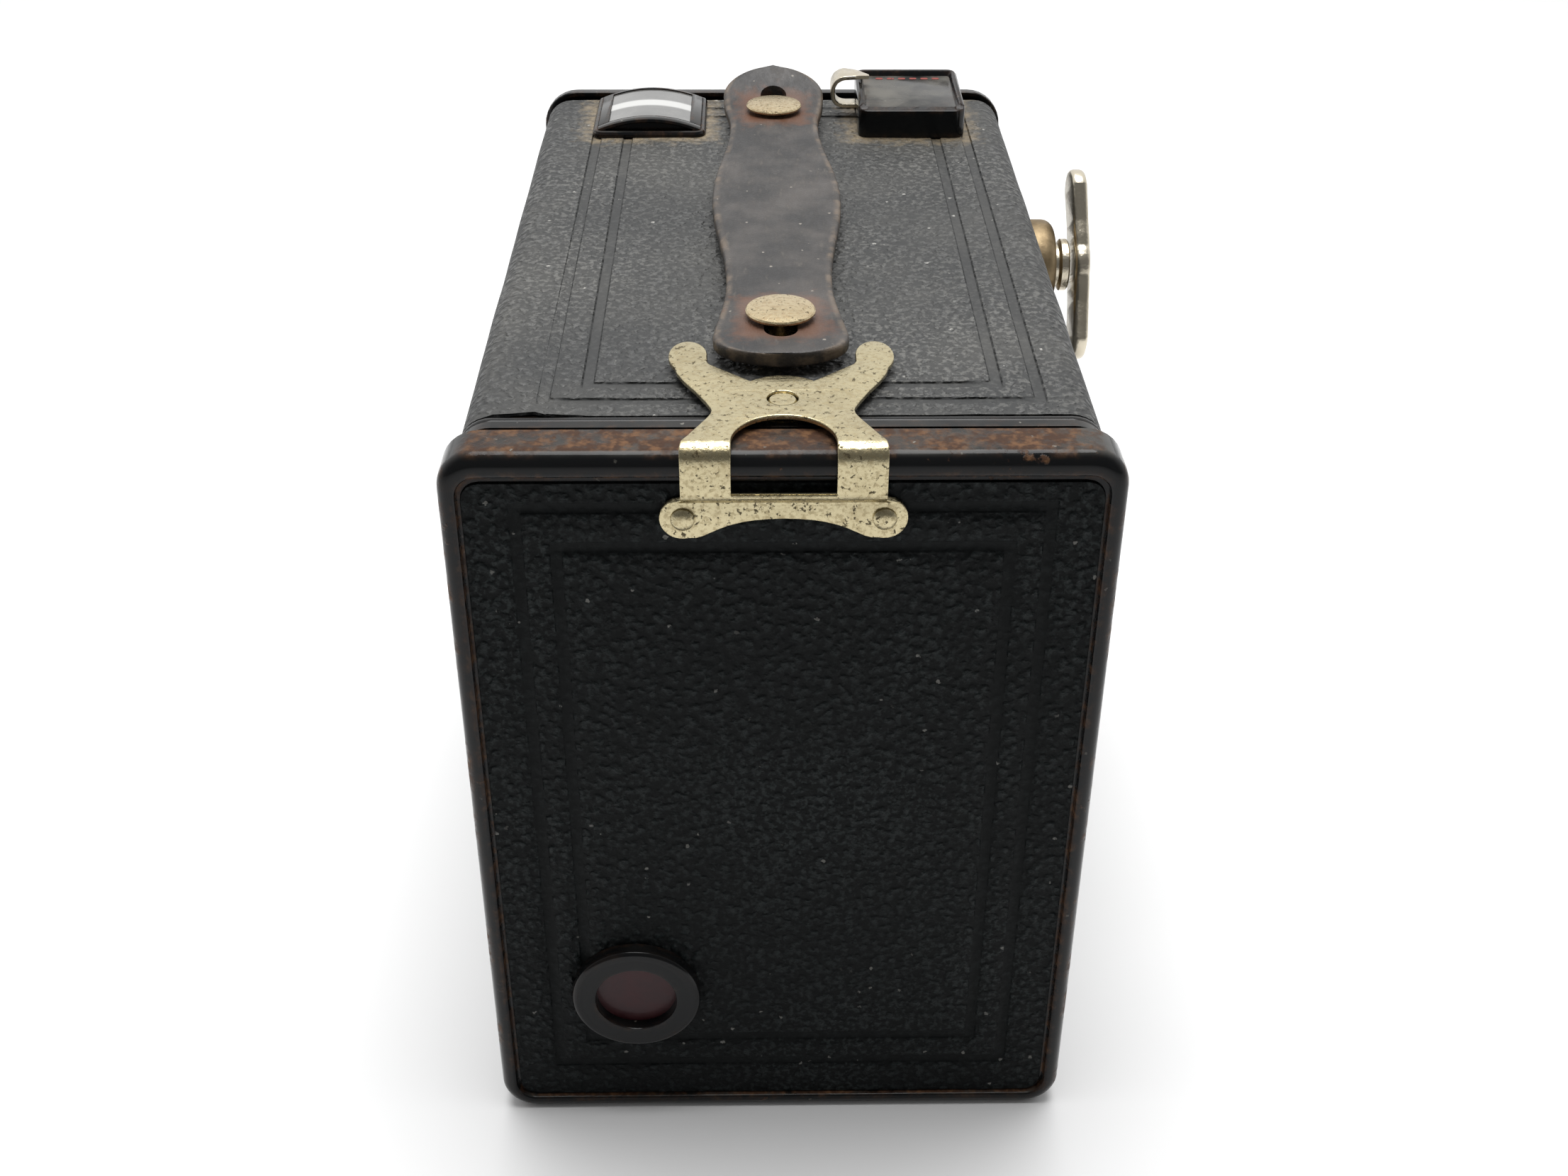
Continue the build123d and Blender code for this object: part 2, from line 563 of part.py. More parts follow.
# ---------------------------------------------------------------- winding key
def key_boss():
    """Brass bearing for the winding shaft, standing on the side of the box."""
    boss = rod_x(SPOOL_DEPTH, TAKEUP_Z, 7.3, WIDTH / 2, WIDTH / 2 + 5.3)
    boss = fillet(boss.faces().sort_by(Axis.X)[-1].edges(), 1.5)
    boss += rod_x(SPOOL_DEPTH, TAKEUP_Z, 4.8, WIDTH / 2 - 1.2, WIDTH / 2)
    return boss - rod_x(SPOOL_DEPTH, TAKEUP_Z, 2.5 + RUNNING, 30, 60)


def key_collar():
    """Collar that is drawn out with the key and doesn't turn."""
    ring = rod_x(SPOOL_DEPTH, TAKEUP_Z, 4.2, WIDTH / 2 + 6.2, WIDTH / 2 + 7.8)
    neck = rod_x(SPOOL_DEPTH, TAKEUP_Z, 3.3, WIDTH / 2 + 5.4, WIDTH / 2 + 6.2)
    return ring + neck - rod_x(SPOOL_DEPTH, TAKEUP_Z, 2.5 + RUNNING, 30, 60)


def winding_shaft():
    """Shaft with the flat blade that drives the take-up spool."""
    shaft = rod_x(SPOOL_DEPTH, TAKEUP_Z, 2.5, SPOOL_HALF + 0.6, WIDTH / 2 + 8.0)
    blade = Pos(SPOOL_HALF - 1, back(SPOOL_DEPTH), TAKEUP_Z) * Rot(-KEY_LEAN, 0, 0) * Box(4.4, 1.2, 7.0)
    return shaft + blade


def winding_key():
    """Two-lobed pressed key: a dished bar with its edge turned in all round."""
    lobes = Sketch() + [Pos(0, s * (KEY_LENGTH / 2 - 4.6)) * Circle(4.6) for s in (-1, 1)]
    waist = Rectangle(7.4, KEY_LENGTH - 9.2) + Circle(4.9)
    outline = lobes + waist
    x0, x1 = WIDTH / 2 + 8.0, WIDTH / 2 + 11.0
    bar = extrude(Plane((x0, 0, 0), x_dir=(0, 1, 0), z_dir=(1, 0, 0)) * outline, amount=x1 - x0)
    bar = fillet(bar.faces().sort_by(Axis.X)[-1].edges(), 1.0)
    hollow = offset(outline, amount=-0.9)
    bar -= extrude(Plane((x0 - 1, 0, 0), x_dir=(0, 1, 0), z_dir=(1, 0, 0)) * hollow, amount=x1 - x0)
    bar += along_x(Circle(3.6), x0, x1 - 0.5)
    return Pos(0, back(SPOOL_DEPTH), TAKEUP_Z) * Rot(-KEY_LEAN, 0, 0) * bar


# ---------------------------------------------------------------- door
def door_shell():
    """Pressed pan: a raised rim round a sunk panel, and a lip that closes over the sleeve."""
    middle = Pos(0, HEIGHT / 2)
    pan = along_y(middle * RectangleRounded(DOOR_WIDTH, HEIGHT, DOOR_CORNER), 0, DOOR_LIP)
    pan = fillet(pan.faces().sort_by(Axis.Y)[0].edges(), 1.8)
    sunk = RectangleRounded(DOOR_WIDTH - 2 * DOOR_RIM, HEIGHT - 2 * DOOR_RIM, 2.4)
    pan -= along_y(middle * sunk, -1, PANEL_DEPTH)
    wall = 0.6
    inside = RectangleRounded(DOOR_WIDTH - 2 * wall, HEIGHT - 2 * wall, DOOR_CORNER - wall)
    pan -= along_y(middle * inside, PANEL_DEPTH + SHEET, DOOR_LIP + 1)
    pan -= rod_y(*WINDOW, 6.6, -1, 5)
    for x in RIVET_X:
        pan -= rod_y(x, RIVET_Z, 0.9, -1, 5)
    return pan - slab((-31, 31), (DOOR_LIP - 0.9, DOOR_LIP + 1), (-1, 3.4))


RIVET_X = (-12.2, 12.2)
RIVET_Z = 103.3


def door_leatherette():
    half = DOOR_WIDTH / 2 - DOOR_RIM - 0.1
    panel = slab((-half, half), (PANEL_DEPTH - SKIN, PANEL_DEPTH), (DOOR_RIM + 0.1, HEIGHT - DOOR_RIM - 0.9))
    panel = fillet(panel.edges().filter_by(Axis.Y), 2.4) - rod_y(*WINDOW, 6.6, -1, 5)
    for x in RIVET_X:
        panel -= rod_y(x, RIVET_Z, 0.9, -1, 5)
    return panel


def window_bezel():
    """Enamelled eyelet round the red window, spread over inside the door."""
    profile = [(WINDOW_HOLE_R, -1.0), (6.6, -1.35), (8.2, -1.3), (8.9, -0.9), (WINDOW_R, -0.2), (WINDOW_R, 0.7),
               (6.6, 0.7), (6.6, 1.9), (7.6, 1.9), (7.6, 2.3), (WINDOW_HOLE_R + 0.1, 2.3), (WINDOW_HOLE_R + 0.1, 0.8),
               (WINDOW_HOLE_R, 0.8)]
    return turned(profile, WINDOW[0], WINDOW[1], 0)


def window_celluloid():
    """Red celluloid disc, seated in the eyelet."""
    return rod_y(*WINDOW, WINDOW_HOLE_R, 0.35, 0.75)


def hinge_knuckle(x0, x1):
    return rod_x(HINGE_DEPTH, HINGE_Z, HINGE_R, x0, x1)


KNUCKLE = 12.0
KNUCKLE_GAP = 0.15


def hinge_leaf(first, depth, z):
    """One leaf with every other knuckle of five; depth and z give the leaf's own strip."""
    leaf = Part()
    for index in range(first, 5, 2):
        x0 = -30 + KNUCKLE * index + KNUCKLE_GAP
        x1 = x0 + KNUCKLE - 2 * KNUCKLE_GAP
        leaf += hinge_knuckle(x0, x1)
        leaf += slab((x0, x1), depth, z)
    return leaf - rod_x(HINGE_DEPTH, HINGE_Z, HINGE_PIN_R + RUNNING, -40, 40)


def door_hinge_leaf():
    strip = slab((-29.8, 29.8), (2.2, DOOR_LIP - 1.0), (0.6, 1.3))
    return hinge_leaf(0, (DOOR_LIP - 1.1, HINGE_DEPTH - 0.2), (0.6, 1.3)) + strip


def body_hinge_leaf():
    floor = SKIN + SHEET
    thickness = (floor, floor + 0.7)
    strip = slab((-29.8, 29.8), (HINGE_LEAF_REAR, 19.0), thickness)
    return hinge_leaf(1, (HINGE_DEPTH + 0.9, HINGE_LEAF_REAR + 0.1), thickness) + strip


def hinge_pin():
    return rod_x(HINGE_DEPTH, HINGE_Z, HINGE_PIN_R, -30.2, 30.2)


# ---------------------------------------------------------------- latch
LATCH_Z = (112.6, 113.4)
LATCH_BEND = -0.6       # depth of the line that the latch plate flexes about


def latch_outline():
    """Half outline of the flat X-shaped plate, x against depth, from the arch to the bend."""
    ear = Pos(12.4, 24.6) * Circle(2.95)
    crown = Pos(0, 12.2) * Circle(5.9)
    arm = Polyline((2.0, 15.6), (10.6, 24.9), (15.0, 22.0), (9.0, 9.2), (12.4, -0.6), (6.4, -0.6),
                   (6.0, 3.4), (3.4, 6.6), (0, 7.4), (0, 15.6), close=True)
    return Sketch() + [ear, crown, make_face(arm)]


def latch_plate():
    """Flat spring plate that snaps over the stud."""
    half = latch_outline()
    window = Pos(0, 1.2) * Ellipse(6.4, 6.2)
    outline = half + mirror(half, about=Plane.YZ) - window - Pos(0, 11.9) * Circle(1.85)
    outline -= Pos(0, -10) * Rectangle(40, 20 + 2 * LATCH_BEND)
    return Pos(0, REAR, 0) * along_z(outline, *LATCH_Z)


def latch_bracket():
    """Lower half of the latch: arms over the rim and the crossbar riveted to the panel."""
    group = Part()
    bend = LATCH_BEND - 0.05
    for sign in (-1, 1):
        x = sorted((sign * 6.4, sign * 12.4))
        group += slab(x, (-1.0, bend), (112.0, LATCH_Z[1]))
        group += slab(x, (-1.0, -0.2), (107.2, LATCH_Z[0] - 0.1))
        group += slab(x, (-1.0, 0.7), (106.5, 107.3))
    bar = Pos(0, 104.0) * Rectangle(25.0, 6.6)
    for x in RIVET_X:
        bar += Pos(x, RIVET_Z) * Circle(2.8)
    bar -= Pos(0, 84.6) * Circle(18.2)
    for x in RIVET_X:
        bar -= Pos(x, RIVET_Z) * Circle(0.9)
    return group + along_y(bar, -0.1, 0.7)


def latch_rivets():
    group = Part()
    for x in RIVET_X:
        head = fillet(rod_y(x, RIVET_Z, 1.5, -0.8, -0.1).faces().sort_by(Axis.Y)[0].edges(), 0.5)
        group += head + rod_y(x, RIVET_Z, 0.9, -0.1, 1.9) + rod_y(x, RIVET_Z, 1.4, 1.9, 2.3)
    return group


def latch_stud():
    return rod_z(0, 11.9, 1.75, 110.8, LATCH_Z[1] - 0.1)


# ---------------------------------------------------------------- carrying strap
def strap_outline():
    """Plan of the whole strap, x against depth: two eyes joined by a swelling grip."""
    grip = Spline([(7.2, 43.0), (9.6, 76.0), (7.2, 107.0)], tangents=[(0.0, 1.0), (0, 1), (0.0, 1.0)])
    near = Spline([(0, 20.6), (6.4, 21.8), (8.6, 27.0), (7.2, 43.0)],
                  tangents=[(1, 0), (1.0, 0.6), (0, 1), (0, 1)])
    far = Spline([(7.2, 107.0), (8.5, 121.0), (6.0, 125.4), (0, 126.4)],
                 tangents=[(0, 1), (0, 1), (-1, 0.5), (-1, 0)])
    half = make_face(near + grip + far + Line((0, 126.4), (0, 20.6)))
    return half + mirror(half, about=Plane.YZ)


def strap_span(depth0, depth1):
    """The strap's solid between two depths, with its end slots cut."""
    plan = strap_outline() & (Pos(0, (depth0 + depth1) / 2) * Rectangle(40, depth1 - depth0))
    near_slot = Pos(0, (25.4 + 33.6) / 2) * SlotOverall(8.2 + 0.2, 4.4, rotation=90)
    far_slot = Pos(0, (111.8 + 122.2) / 2) * SlotOverall(10.4, 4.4, rotation=90)
    return Pos(0, REAR, 0) * along_z(plan - near_slot - far_slot, *STRAP_Z)


def strap_stud(depth):
    """Rivet stud: foot washer on the leatherette, neck and wide flat head."""
    foot = rod_z(0, depth, 4.4, HEIGHT, HEIGHT + 1.1)
    neck = rod_z(0, depth, 1.6, 110.4, STRAP_Z[1] + 0.6)
    head = rod_z(0, depth, STUD_HEAD_R, STRAP_Z[1] + 0.5, STRAP_Z[1] + 1.5)
    head = fillet(head.faces().sort_by(Axis.Z)[-1].edges(), 0.7)
    return foot + neck + head + rod_z(0, depth, 3.0, 109.9, 110.8)


# ---------------------------------------------------------------- tripod sockets
def tripod_bush():
    """Plain bush at the tapping size, its mouth at the origin, opening along -Z."""
    wall = SKIN + SHEET
    bush = Pos(0, 0, TRIPOD_LENGTH / 2) * Cylinder(6.45, TRIPOD_LENGTH) + Pos(0, 0, wall + 0.5) * Cylinder(8.6, 1.0)
    return bush - Pos(0, 0, TRIPOD_LENGTH / 2) * Cylinder(TRIPOD_R, 2 * TRIPOD_LENGTH)


def tripod_bushes():
    """One socket in the floor and one in the side away from the key."""
    lower = Pos(0, back(TRIPOD_DEPTH), 0) * tripod_bush()
    side = Pos(-WIDTH / 2, back(TRIPOD_DEPTH), AXIS_Z) * Rot(0, 90, 0) * tripod_bush()
    return Part() + lower + side


def main():
    halfway = STRAP_JOINT_GAP / 2
    rear_hinge, mid_hinge, front_hinge = STRAP_HINGES
    nodes = {
        "body_shell": body_shell(),
        "body_leatherette": body_leatherette(),
        "light_trap_sleeve": light_trap_sleeve(),
        "front_collar": front_collar(),
        "front_plate": front_plate(),
        "plate_screws": plate_screws(),
        "lens_bezel": lens_bezel(),
        "portrait_housing": portrait_housing(),
        "label_plate": label_plate(),
        "portrait_lever": portrait_lever(),
        "portrait_lens_ring": portrait_lens_ring(),
        "portrait_lens": portrait_lens(),
        "portrait_pivot": portrait_pivot(),
        "shutter_board": shutter_board(),
        "shutter_pins": shutter_pins(),
        "shutter_blade": shutter_blade(),
        "shutter_spring": shutter_spring(),
        "release_lever": release_lever(),
        "time_slide": time_slide(),
        "aperture_strip": aperture_strip(),
        "lens_cell": lens_cell(),
        "main_lens": main_lens(),
        "lens_retaining_ring": lens_retaining_ring(),
        "carriage_cone": carriage_cone(),
        "film_gate": film_gate(),
        "carriage_sides": carriage_side(-1) + carriage_side(1),
        "take_up_spool": spool(TAKEUP_Z),
        "supply_spool": spool(SUPPLY_Z),
        "spool_pins": spool_pins(),
        "spool_springs": spool_springs(),
        "upper_roller": film_roller(ROLLER_Z[0]),
        "lower_roller": film_roller(ROLLER_Z[1]),
        "key_boss": key_boss(),
        "key_collar": key_collar(),
        "winding_shaft": winding_shaft(),
        "winding_key": winding_key(),
        "door_shell": door_shell(),
        "door_leatherette": door_leatherette(),
        "window_bezel": window_bezel(),
        "window_celluloid": window_celluloid(),
        "door_hinge_leaf": door_hinge_leaf(),
        "body_hinge_leaf": body_hinge_leaf(),
        "hinge_pin": hinge_pin(),
        "latch_plate": latch_plate(),
        "latch_bracket": latch_bracket(),
        "latch_rivets": latch_rivets(),
        "latch_stud": latch_stud(),
        "tripod_bushes": tripod_bushes(),
        "strap_rear_eye": strap_span(15, rear_hinge - halfway),
        "strap_rear_half": strap_span(rear_hinge + halfway, mid_hinge - halfway),
        "strap_front_half": strap_span(mid_hinge + halfway, front_hinge - halfway),
        "strap_front_eye": strap_span(front_hinge + halfway, 130),
        "strap_studs": strap_stud(STUD_DEPTHS[0]) + strap_stud(STUD_DEPTHS[1]),
    }
    for name, place in (("top", as_top_finder), ("side", as_side_finder)):
        nodes[f"{name}_finder_frame"] = place(finder_frame())
    for name, piece in (("glasses", finder_glass), ("boxes", finder_box), ("mirrors", finder_mirror)):
        nodes[f"finder_{name}"] = Part() + as_top_finder(piece()) + as_side_finder(piece())
    nodes["objective_bezels"] = Part() + [objective_bezel(x, z) for x, z in OBJECTIVES]
    nodes["objective_lenses"] = Part() + [objective_lens(x, z) for x, z in OBJECTIVES]
    for name, shape in nodes.items():
        save(name, shape)


main()
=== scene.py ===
"""Looks of the box camera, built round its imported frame.

The frame's axes: +X is the key side, +Y the way the lens looks, +Z up. Builders work in
millimetres with depth counted forward from the door's rear face, and row() turns that
into the frame's metres.
"""
import json
from math import atan2, cos, pi, radians, sin, sqrt

import bmesh
import bpy
from mathutils import Matrix, Vector, noise


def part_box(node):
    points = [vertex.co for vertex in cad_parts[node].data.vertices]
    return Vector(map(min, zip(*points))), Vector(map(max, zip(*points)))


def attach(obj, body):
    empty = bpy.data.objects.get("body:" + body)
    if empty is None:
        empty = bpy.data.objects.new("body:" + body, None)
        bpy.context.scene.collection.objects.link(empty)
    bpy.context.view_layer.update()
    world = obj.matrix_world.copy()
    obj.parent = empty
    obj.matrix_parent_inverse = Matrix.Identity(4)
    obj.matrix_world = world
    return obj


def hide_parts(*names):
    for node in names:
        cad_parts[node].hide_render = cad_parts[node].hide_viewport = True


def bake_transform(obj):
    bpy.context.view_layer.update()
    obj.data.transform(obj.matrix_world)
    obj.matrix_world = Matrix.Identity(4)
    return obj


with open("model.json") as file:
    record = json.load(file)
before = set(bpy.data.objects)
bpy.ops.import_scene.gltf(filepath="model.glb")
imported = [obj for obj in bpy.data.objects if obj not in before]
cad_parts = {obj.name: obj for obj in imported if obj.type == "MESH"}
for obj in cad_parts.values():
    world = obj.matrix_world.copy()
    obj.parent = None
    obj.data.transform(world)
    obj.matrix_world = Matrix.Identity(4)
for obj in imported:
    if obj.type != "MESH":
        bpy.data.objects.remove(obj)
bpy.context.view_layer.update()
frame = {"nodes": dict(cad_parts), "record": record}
nodes = frame["nodes"]

# ---------------------------------------------------------------- sizes, read from the frame
MM = 0.001


def reach(node, axis):
    """Lowest and highest value of a node along one axis, in millimetres."""
    low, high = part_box(node)
    return low[axis] / MM, high[axis] / MM


def middle(node, axis):
    return sum(reach(node, axis)) / 2


REAR = reach("door_shell", 1)[0]
HALF_WIDTH, TOP = reach("body_leatherette", 0)[1], reach("body_leatherette", 2)[1]
DOOR_HALF, DOOR_TOP = reach("door_shell", 0)[1], reach("door_shell", 2)[1]
AXIS_Z = middle("main_lens", 2)
WINDOW_X, WINDOW_Z = middle("window_bezel", 0), middle("window_bezel", 2)
FINDER_X, FINDER_Z = middle("top_finder_frame", 0), middle("side_finder_frame", 2)
KEY_DEPTH, KEY_Z = middle("key_boss", 1) - REAR, middle("key_boss", 2)
HOUSING_X, HOUSING_Y = reach("portrait_housing", 0), reach("portrait_housing", 1)
TRIPOD_DEPTH = reach("tripod_bushes", 1)[0] - REAR + 8.6
LATCH_TOP = reach("latch_plate", 2)[1]
RIVET_X, RIVET_Z = 12.2, middle("latch_rivets", 2)
STRAP_LOW, STRAP_TOP = reach("strap_rear_half", 2)
STUD_DEPTHS = (31.6, 114.0)


def row(x, depth, z):
    """A point of the frame, in metres."""
    return Vector((x, REAR + depth, z)) * MM


# ---------------------------------------------------------------- wiring of materials
class Wiring:
    """Short calls for the nodes that the materials and node groups use."""

    def __init__(self, tree):
        self.tree = tree

    def give(self, socket, value):
        """Links the socket to another one, or sets it to a plain value."""
        if isinstance(value, bpy.types.NodeSocket):
            self.tree.links.new(value, socket)
        else:
            socket.default_value = value

    def add(self, kind, inputs=None, **settings):
        made = self.tree.nodes.new(kind)
        for name, value in settings.items():
            setattr(made, name, value)
        for name, value in (inputs or {}).items():
            self.give(made.inputs[name], value)
        return made

    def calc(self, operation, first, *others, clamp=True):
        """first with each of the others in turn, held between 0 and 1 unless clamp is off."""
        for other in others or (0.0,):
            made = self.add("ShaderNodeMath", {0: first, 1: other}, operation=operation, use_clamp=clamp)
            first = made.outputs[0]
        return first

    def vector(self, operation, first, second=(0.0, 0.0, 0.0), output="Vector"):
        return self.add("ShaderNodeVectorMath", {0: first, 1: second}, operation=operation).outputs[output]

    def part(self, vector, axis):
        return self.add("ShaderNodeSeparateXYZ", {0: vector}).outputs[axis]

    def between(self, value, low, high, start=0.0, end=1.0):
        """value carried from low..high to start..end, smoothly and without overshoot."""
        limits = {"Value": value, "From Min": low, "From Max": high, "To Min": start, "To Max": end}
        return self.add("ShaderNodeMapRange", limits, interpolation_type="SMOOTHSTEP").outputs["Result"]

    def mix(self, mask, first, second):
        return self.add("ShaderNodeMix", {0: mask, 6: first, 7: second}, data_type="RGBA").outputs[2]

    def place(self):
        return self.add("ShaderNodeTexCoord").outputs["Object"]

    def facing(self):
        return self.add("ShaderNodeNewGeometry").outputs["Normal"]

    def stored(self, name):
        """A value that mark() has stored on the mesh."""
        return self.add("ShaderNodeAttribute", attribute_name=name).outputs["Fac"]

    def noise(self, scale, detail=3.0, coords=None, roughness=0.55):
        inputs = {"Vector": coords or self.place(), "Scale": scale, "Detail": detail, "Roughness": roughness}
        return self.add("ShaderNodeTexNoise", inputs).outputs["Fac"]

    def stretched(self, x, y, z):
        """The place in the object, scaled along its axes."""
        return self.add("ShaderNodeMapping", {"Vector": self.place(), "Scale": (x, y, z)}).outputs[0]

    def bump(self, height, depth):
        """A relief this many metres deep."""
        return self.add("ShaderNodeBump", {"Height": height, "Distance": depth}).outputs["Normal"]

    def group(self, tree, **inputs):
        made = self.add("ShaderNodeGroup", node_tree=tree)
        for name, value in inputs.items():
            self.give(made.inputs[name.replace("_", " ")], value)
        return made.outputs

    def mask(self, tree, **inputs):
        return self.group(tree, **inputs)["Mask"]


def effect(name, inputs, outputs):
    """A new node group; returns its wiring, its input sockets and the call that connects its outputs."""
    tree = bpy.data.node_groups.new(name, "ShaderNodeTree")
    for label, value in inputs.items():
        kind = "NodeSocketVector" if isinstance(value, tuple) else "NodeSocketFloat"
        socket = tree.interface.new_socket(name=label, in_out="INPUT", socket_type=kind)
        socket.default_value = value
    for label in outputs:
        tree.interface.new_socket(name=label, in_out="OUTPUT", socket_type="NodeSocketFloat")
    wiring = Wiring(tree)
    given = wiring.add("NodeGroupInput").outputs
    result = wiring.add("NodeGroupOutput").inputs

    def close(**values):
        for label, value in values.items():
            tree.links.new(value, result[label])
        return tree
    return wiring, given, close


def pebble_grain():
    """Soft irregular pebbles of pressed leathercloth; Scale is pebbles per metre."""
    w, given, close = effect("Pebble grain", {"Scale": 900.0}, ("Height",))
    place, wander = w.place(), 0.0011
    drift = w.add("ShaderNodeTexNoise", {"Vector": place, "Scale": given["Scale"], "Detail": 2.0})
    bent = w.vector("ADD", place, w.vector("MULTIPLY", drift.outputs["Color"], (wander, wander, wander)))
    cells = w.add("ShaderNodeTexVoronoi", {"Vector": bent, "Scale": given["Scale"], "Smoothness": 0.7},
                  feature="SMOOTH_F1").outputs["Distance"]
    pebble = w.between(cells, 0.05, 0.75, 1.0, 0.0)
    fine = w.noise(w.calc("MULTIPLY", given["Scale"], 1.6, clamp=False), coords=bent, roughness=0.5)
    return close(Height=w.calc("MULTIPLY", pebble, w.between(fine, 0.2, 0.8, 0.45, 1.0)))


def dust():
    """Film lies in broad patches, Specks are small pale grains; both thicken on surfaces that face up."""
    inputs = {"Film scale": 60.0, "Speck scale": 500.0, "Amount": 0.5}
    w, given, close = effect("Dust", inputs, ("Film", "Specks"))
    lying = w.between(w.part(w.facing(), "Z"), 0.6, 0.97)
    broad = w.between(w.noise(given["Film scale"], 5.0), 0.35, 0.7)
    cells = w.add("ShaderNodeTexVoronoi", {"Vector": w.place(), "Scale": given["Speck scale"]}).outputs
    size = w.between(w.noise(2500.0), 0.3, 0.7, 0.04, 0.26)
    grain = w.between(w.calc("SUBTRACT", cells["Distance"], size), 0.0, 0.05, 1.0, 0.0)
    rare = w.between(w.part(cells["Color"], "X"), 0.95, 0.97)
    return close(Film=w.calc("MULTIPLY", broad, given["Amount"], lying),
                 Specks=w.calc("MULTIPLY", grain, rare, w.between(lying, 0.0, 1.0, 0.3, 0.8)))


def edge_wear():
    """Worn where the surface turns within Radius metres, broken up so that it never runs evenly."""
    w, given, close = effect("Edge wear", {"Radius": 0.0008, "Break scale": 300.0, "Amount": 0.5}, ("Mask",))
    soft = w.add("ShaderNodeBevel", {"Radius": given["Radius"]}, samples=4).outputs["Normal"]
    turn = w.between(w.vector("DOT_PRODUCT", soft, w.facing(), output="Value"), 0.82, 0.995, 1.0, 0.0)
    broken = w.between(w.noise(given["Break scale"], 4.0), 0.4, 0.62)
    return close(Mask=w.calc("MULTIPLY", turn, broken, given["Amount"]))


def patches():
    """Irregular patches that cover about Amount of a surface, such as rust or tarnish."""
    w, given, close = effect("Patches", {"Scale": 80.0, "Amount": 0.3, "Softness": 0.08}, ("Mask",))
    level = w.between(given["Amount"], 0.0, 1.0, 0.75, 0.25)
    field = w.noise(given["Scale"], 6.0, roughness=0.65)
    return close(Mask=w.between(field, level, w.calc("ADD", level, given["Softness"])))


def halo():
    """Full inside a box about Centre with Half size, fading over Reach metres around it."""
    inputs = {"Centre": (0.0, 0.0, 0.0), "Half size": (0.01, 0.01, 0.01), "Reach": 0.003}
    w, given, close = effect("Halo", inputs, ("Mask",))
    away = w.vector("ABSOLUTE", w.vector("SUBTRACT", w.place(), given["Centre"]))
    outside = w.vector("MAXIMUM", w.vector("SUBTRACT", away, given["Half size"]))
    broken = w.between(w.noise(500.0, 4.0), 0.3, 0.7, 0.6, 1.5)
    ragged = w.calc("MULTIPLY", w.vector("LENGTH", outside, output="Value"), broken, clamp=False)
    return close(Mask=w.between(ragged, 0.0, given["Reach"], 1.0, 0.0))


PEBBLES, DUST, WEAR, PATCHES, HALO = pebble_grain(), dust(), edge_wear(), patches(), halo()

# ---------------------------------------------------------------- finishes
BLACK = (0.006, 0.0065, 0.007, 1)
RUST = (0.15, 0.075, 0.035, 1)
DARK_RUST = (0.055, 0.026, 0.014, 1)
GREY_DUST = (0.20, 0.19, 0.165, 1)
PALE_DUST = (0.42, 0.41, 0.38, 1)
TAN_DIRT = (0.27, 0.21, 0.13, 1)


def material(name, **constants):
    """A material with one Principled BSDF; constants are set on the shader's own sockets."""
    made = bpy.data.materials.new(name)
    made.use_nodes = True
    shader = made.node_tree.nodes["Principled BSDF"]
    for label, value in constants.items():
        shader.inputs[label.replace("_", " ")].default_value = value

    def connect(**sockets):
        for label, value in sockets.items():
            made.node_tree.links.new(value, shader.inputs[label.replace("_", " ")])
        return made
    return Wiring(made.node_tree), connect


def black_enamel(name="black enamel", rust=0.25, film=0.25, wear=0.9, lid=0.0, kept=None):
    """Stoved black enamel, glossy, with rust where an edge is rubbed through.

    lid adds rust to level faces, and kept is the (middle, half size) of a box that bare edges lie outside."""
    w, connect = material(name, Coat_Weight=0.12, Coat_Roughness=0.04, Specular_IOR_Level=0.16)
    rubbed = w.mask(WEAR, Radius=0.0016, Break_scale=420.0, Amount=wear)
    spots = w.mask(PATCHES, Scale=170.0, Amount=rust, Softness=0.07)
    level = w.mask(PATCHES, Scale=210.0, Amount=lid, Softness=0.22)
    rusty_lid = w.calc("MULTIPLY", level, w.between(w.part(w.facing(), "Z"), 0.9, 1.0))
    rusty = w.calc("MAXIMUM", rubbed, spots, rusty_lid)
    if kept:
        outside = w.calc("SUBTRACT", 1.0, w.mask(HALO, Centre=kept[0], Half_size=kept[1], Reach=0.0012))
        broad = w.between(w.noise(190.0, 6.0), 0.46, 0.66)
        fine = w.between(w.noise(700.0, 4.0), 0.3, 0.6, 0.3, 1.0)
        rusty = w.calc("MAXIMUM", rusty, w.calc("MULTIPLY", outside, broad, fine))
    tone = w.mix(w.between(w.noise(800.0, 4.0), 0.42, 0.68), DARK_RUST, RUST)
    lying = w.group(DUST, Film_scale=90.0, Speck_scale=900.0, Amount=film)
    paint = w.mix(lying["Film"], BLACK, GREY_DUST)
    colour = w.mix(lying["Specks"], w.mix(rusty, paint, tone), GREY_DUST)
    smudged = w.between(w.noise(120.0, 4.0), 0.3, 0.75, 0.10, 0.22)
    dull = w.calc("MAXIMUM", smudged, w.calc("MULTIPLY", w.calc("ADD", rusty, lying["Film"]), 0.75))
    pitted = w.calc("MULTIPLY", w.noise(1500.0), rusty)
    height = w.calc("ADD", pitted, w.calc("MULTIPLY", w.noise(260.0), 0.2))
    return connect(Base_Color=colour, Roughness=dull, Normal=w.bump(height, 0.00010))


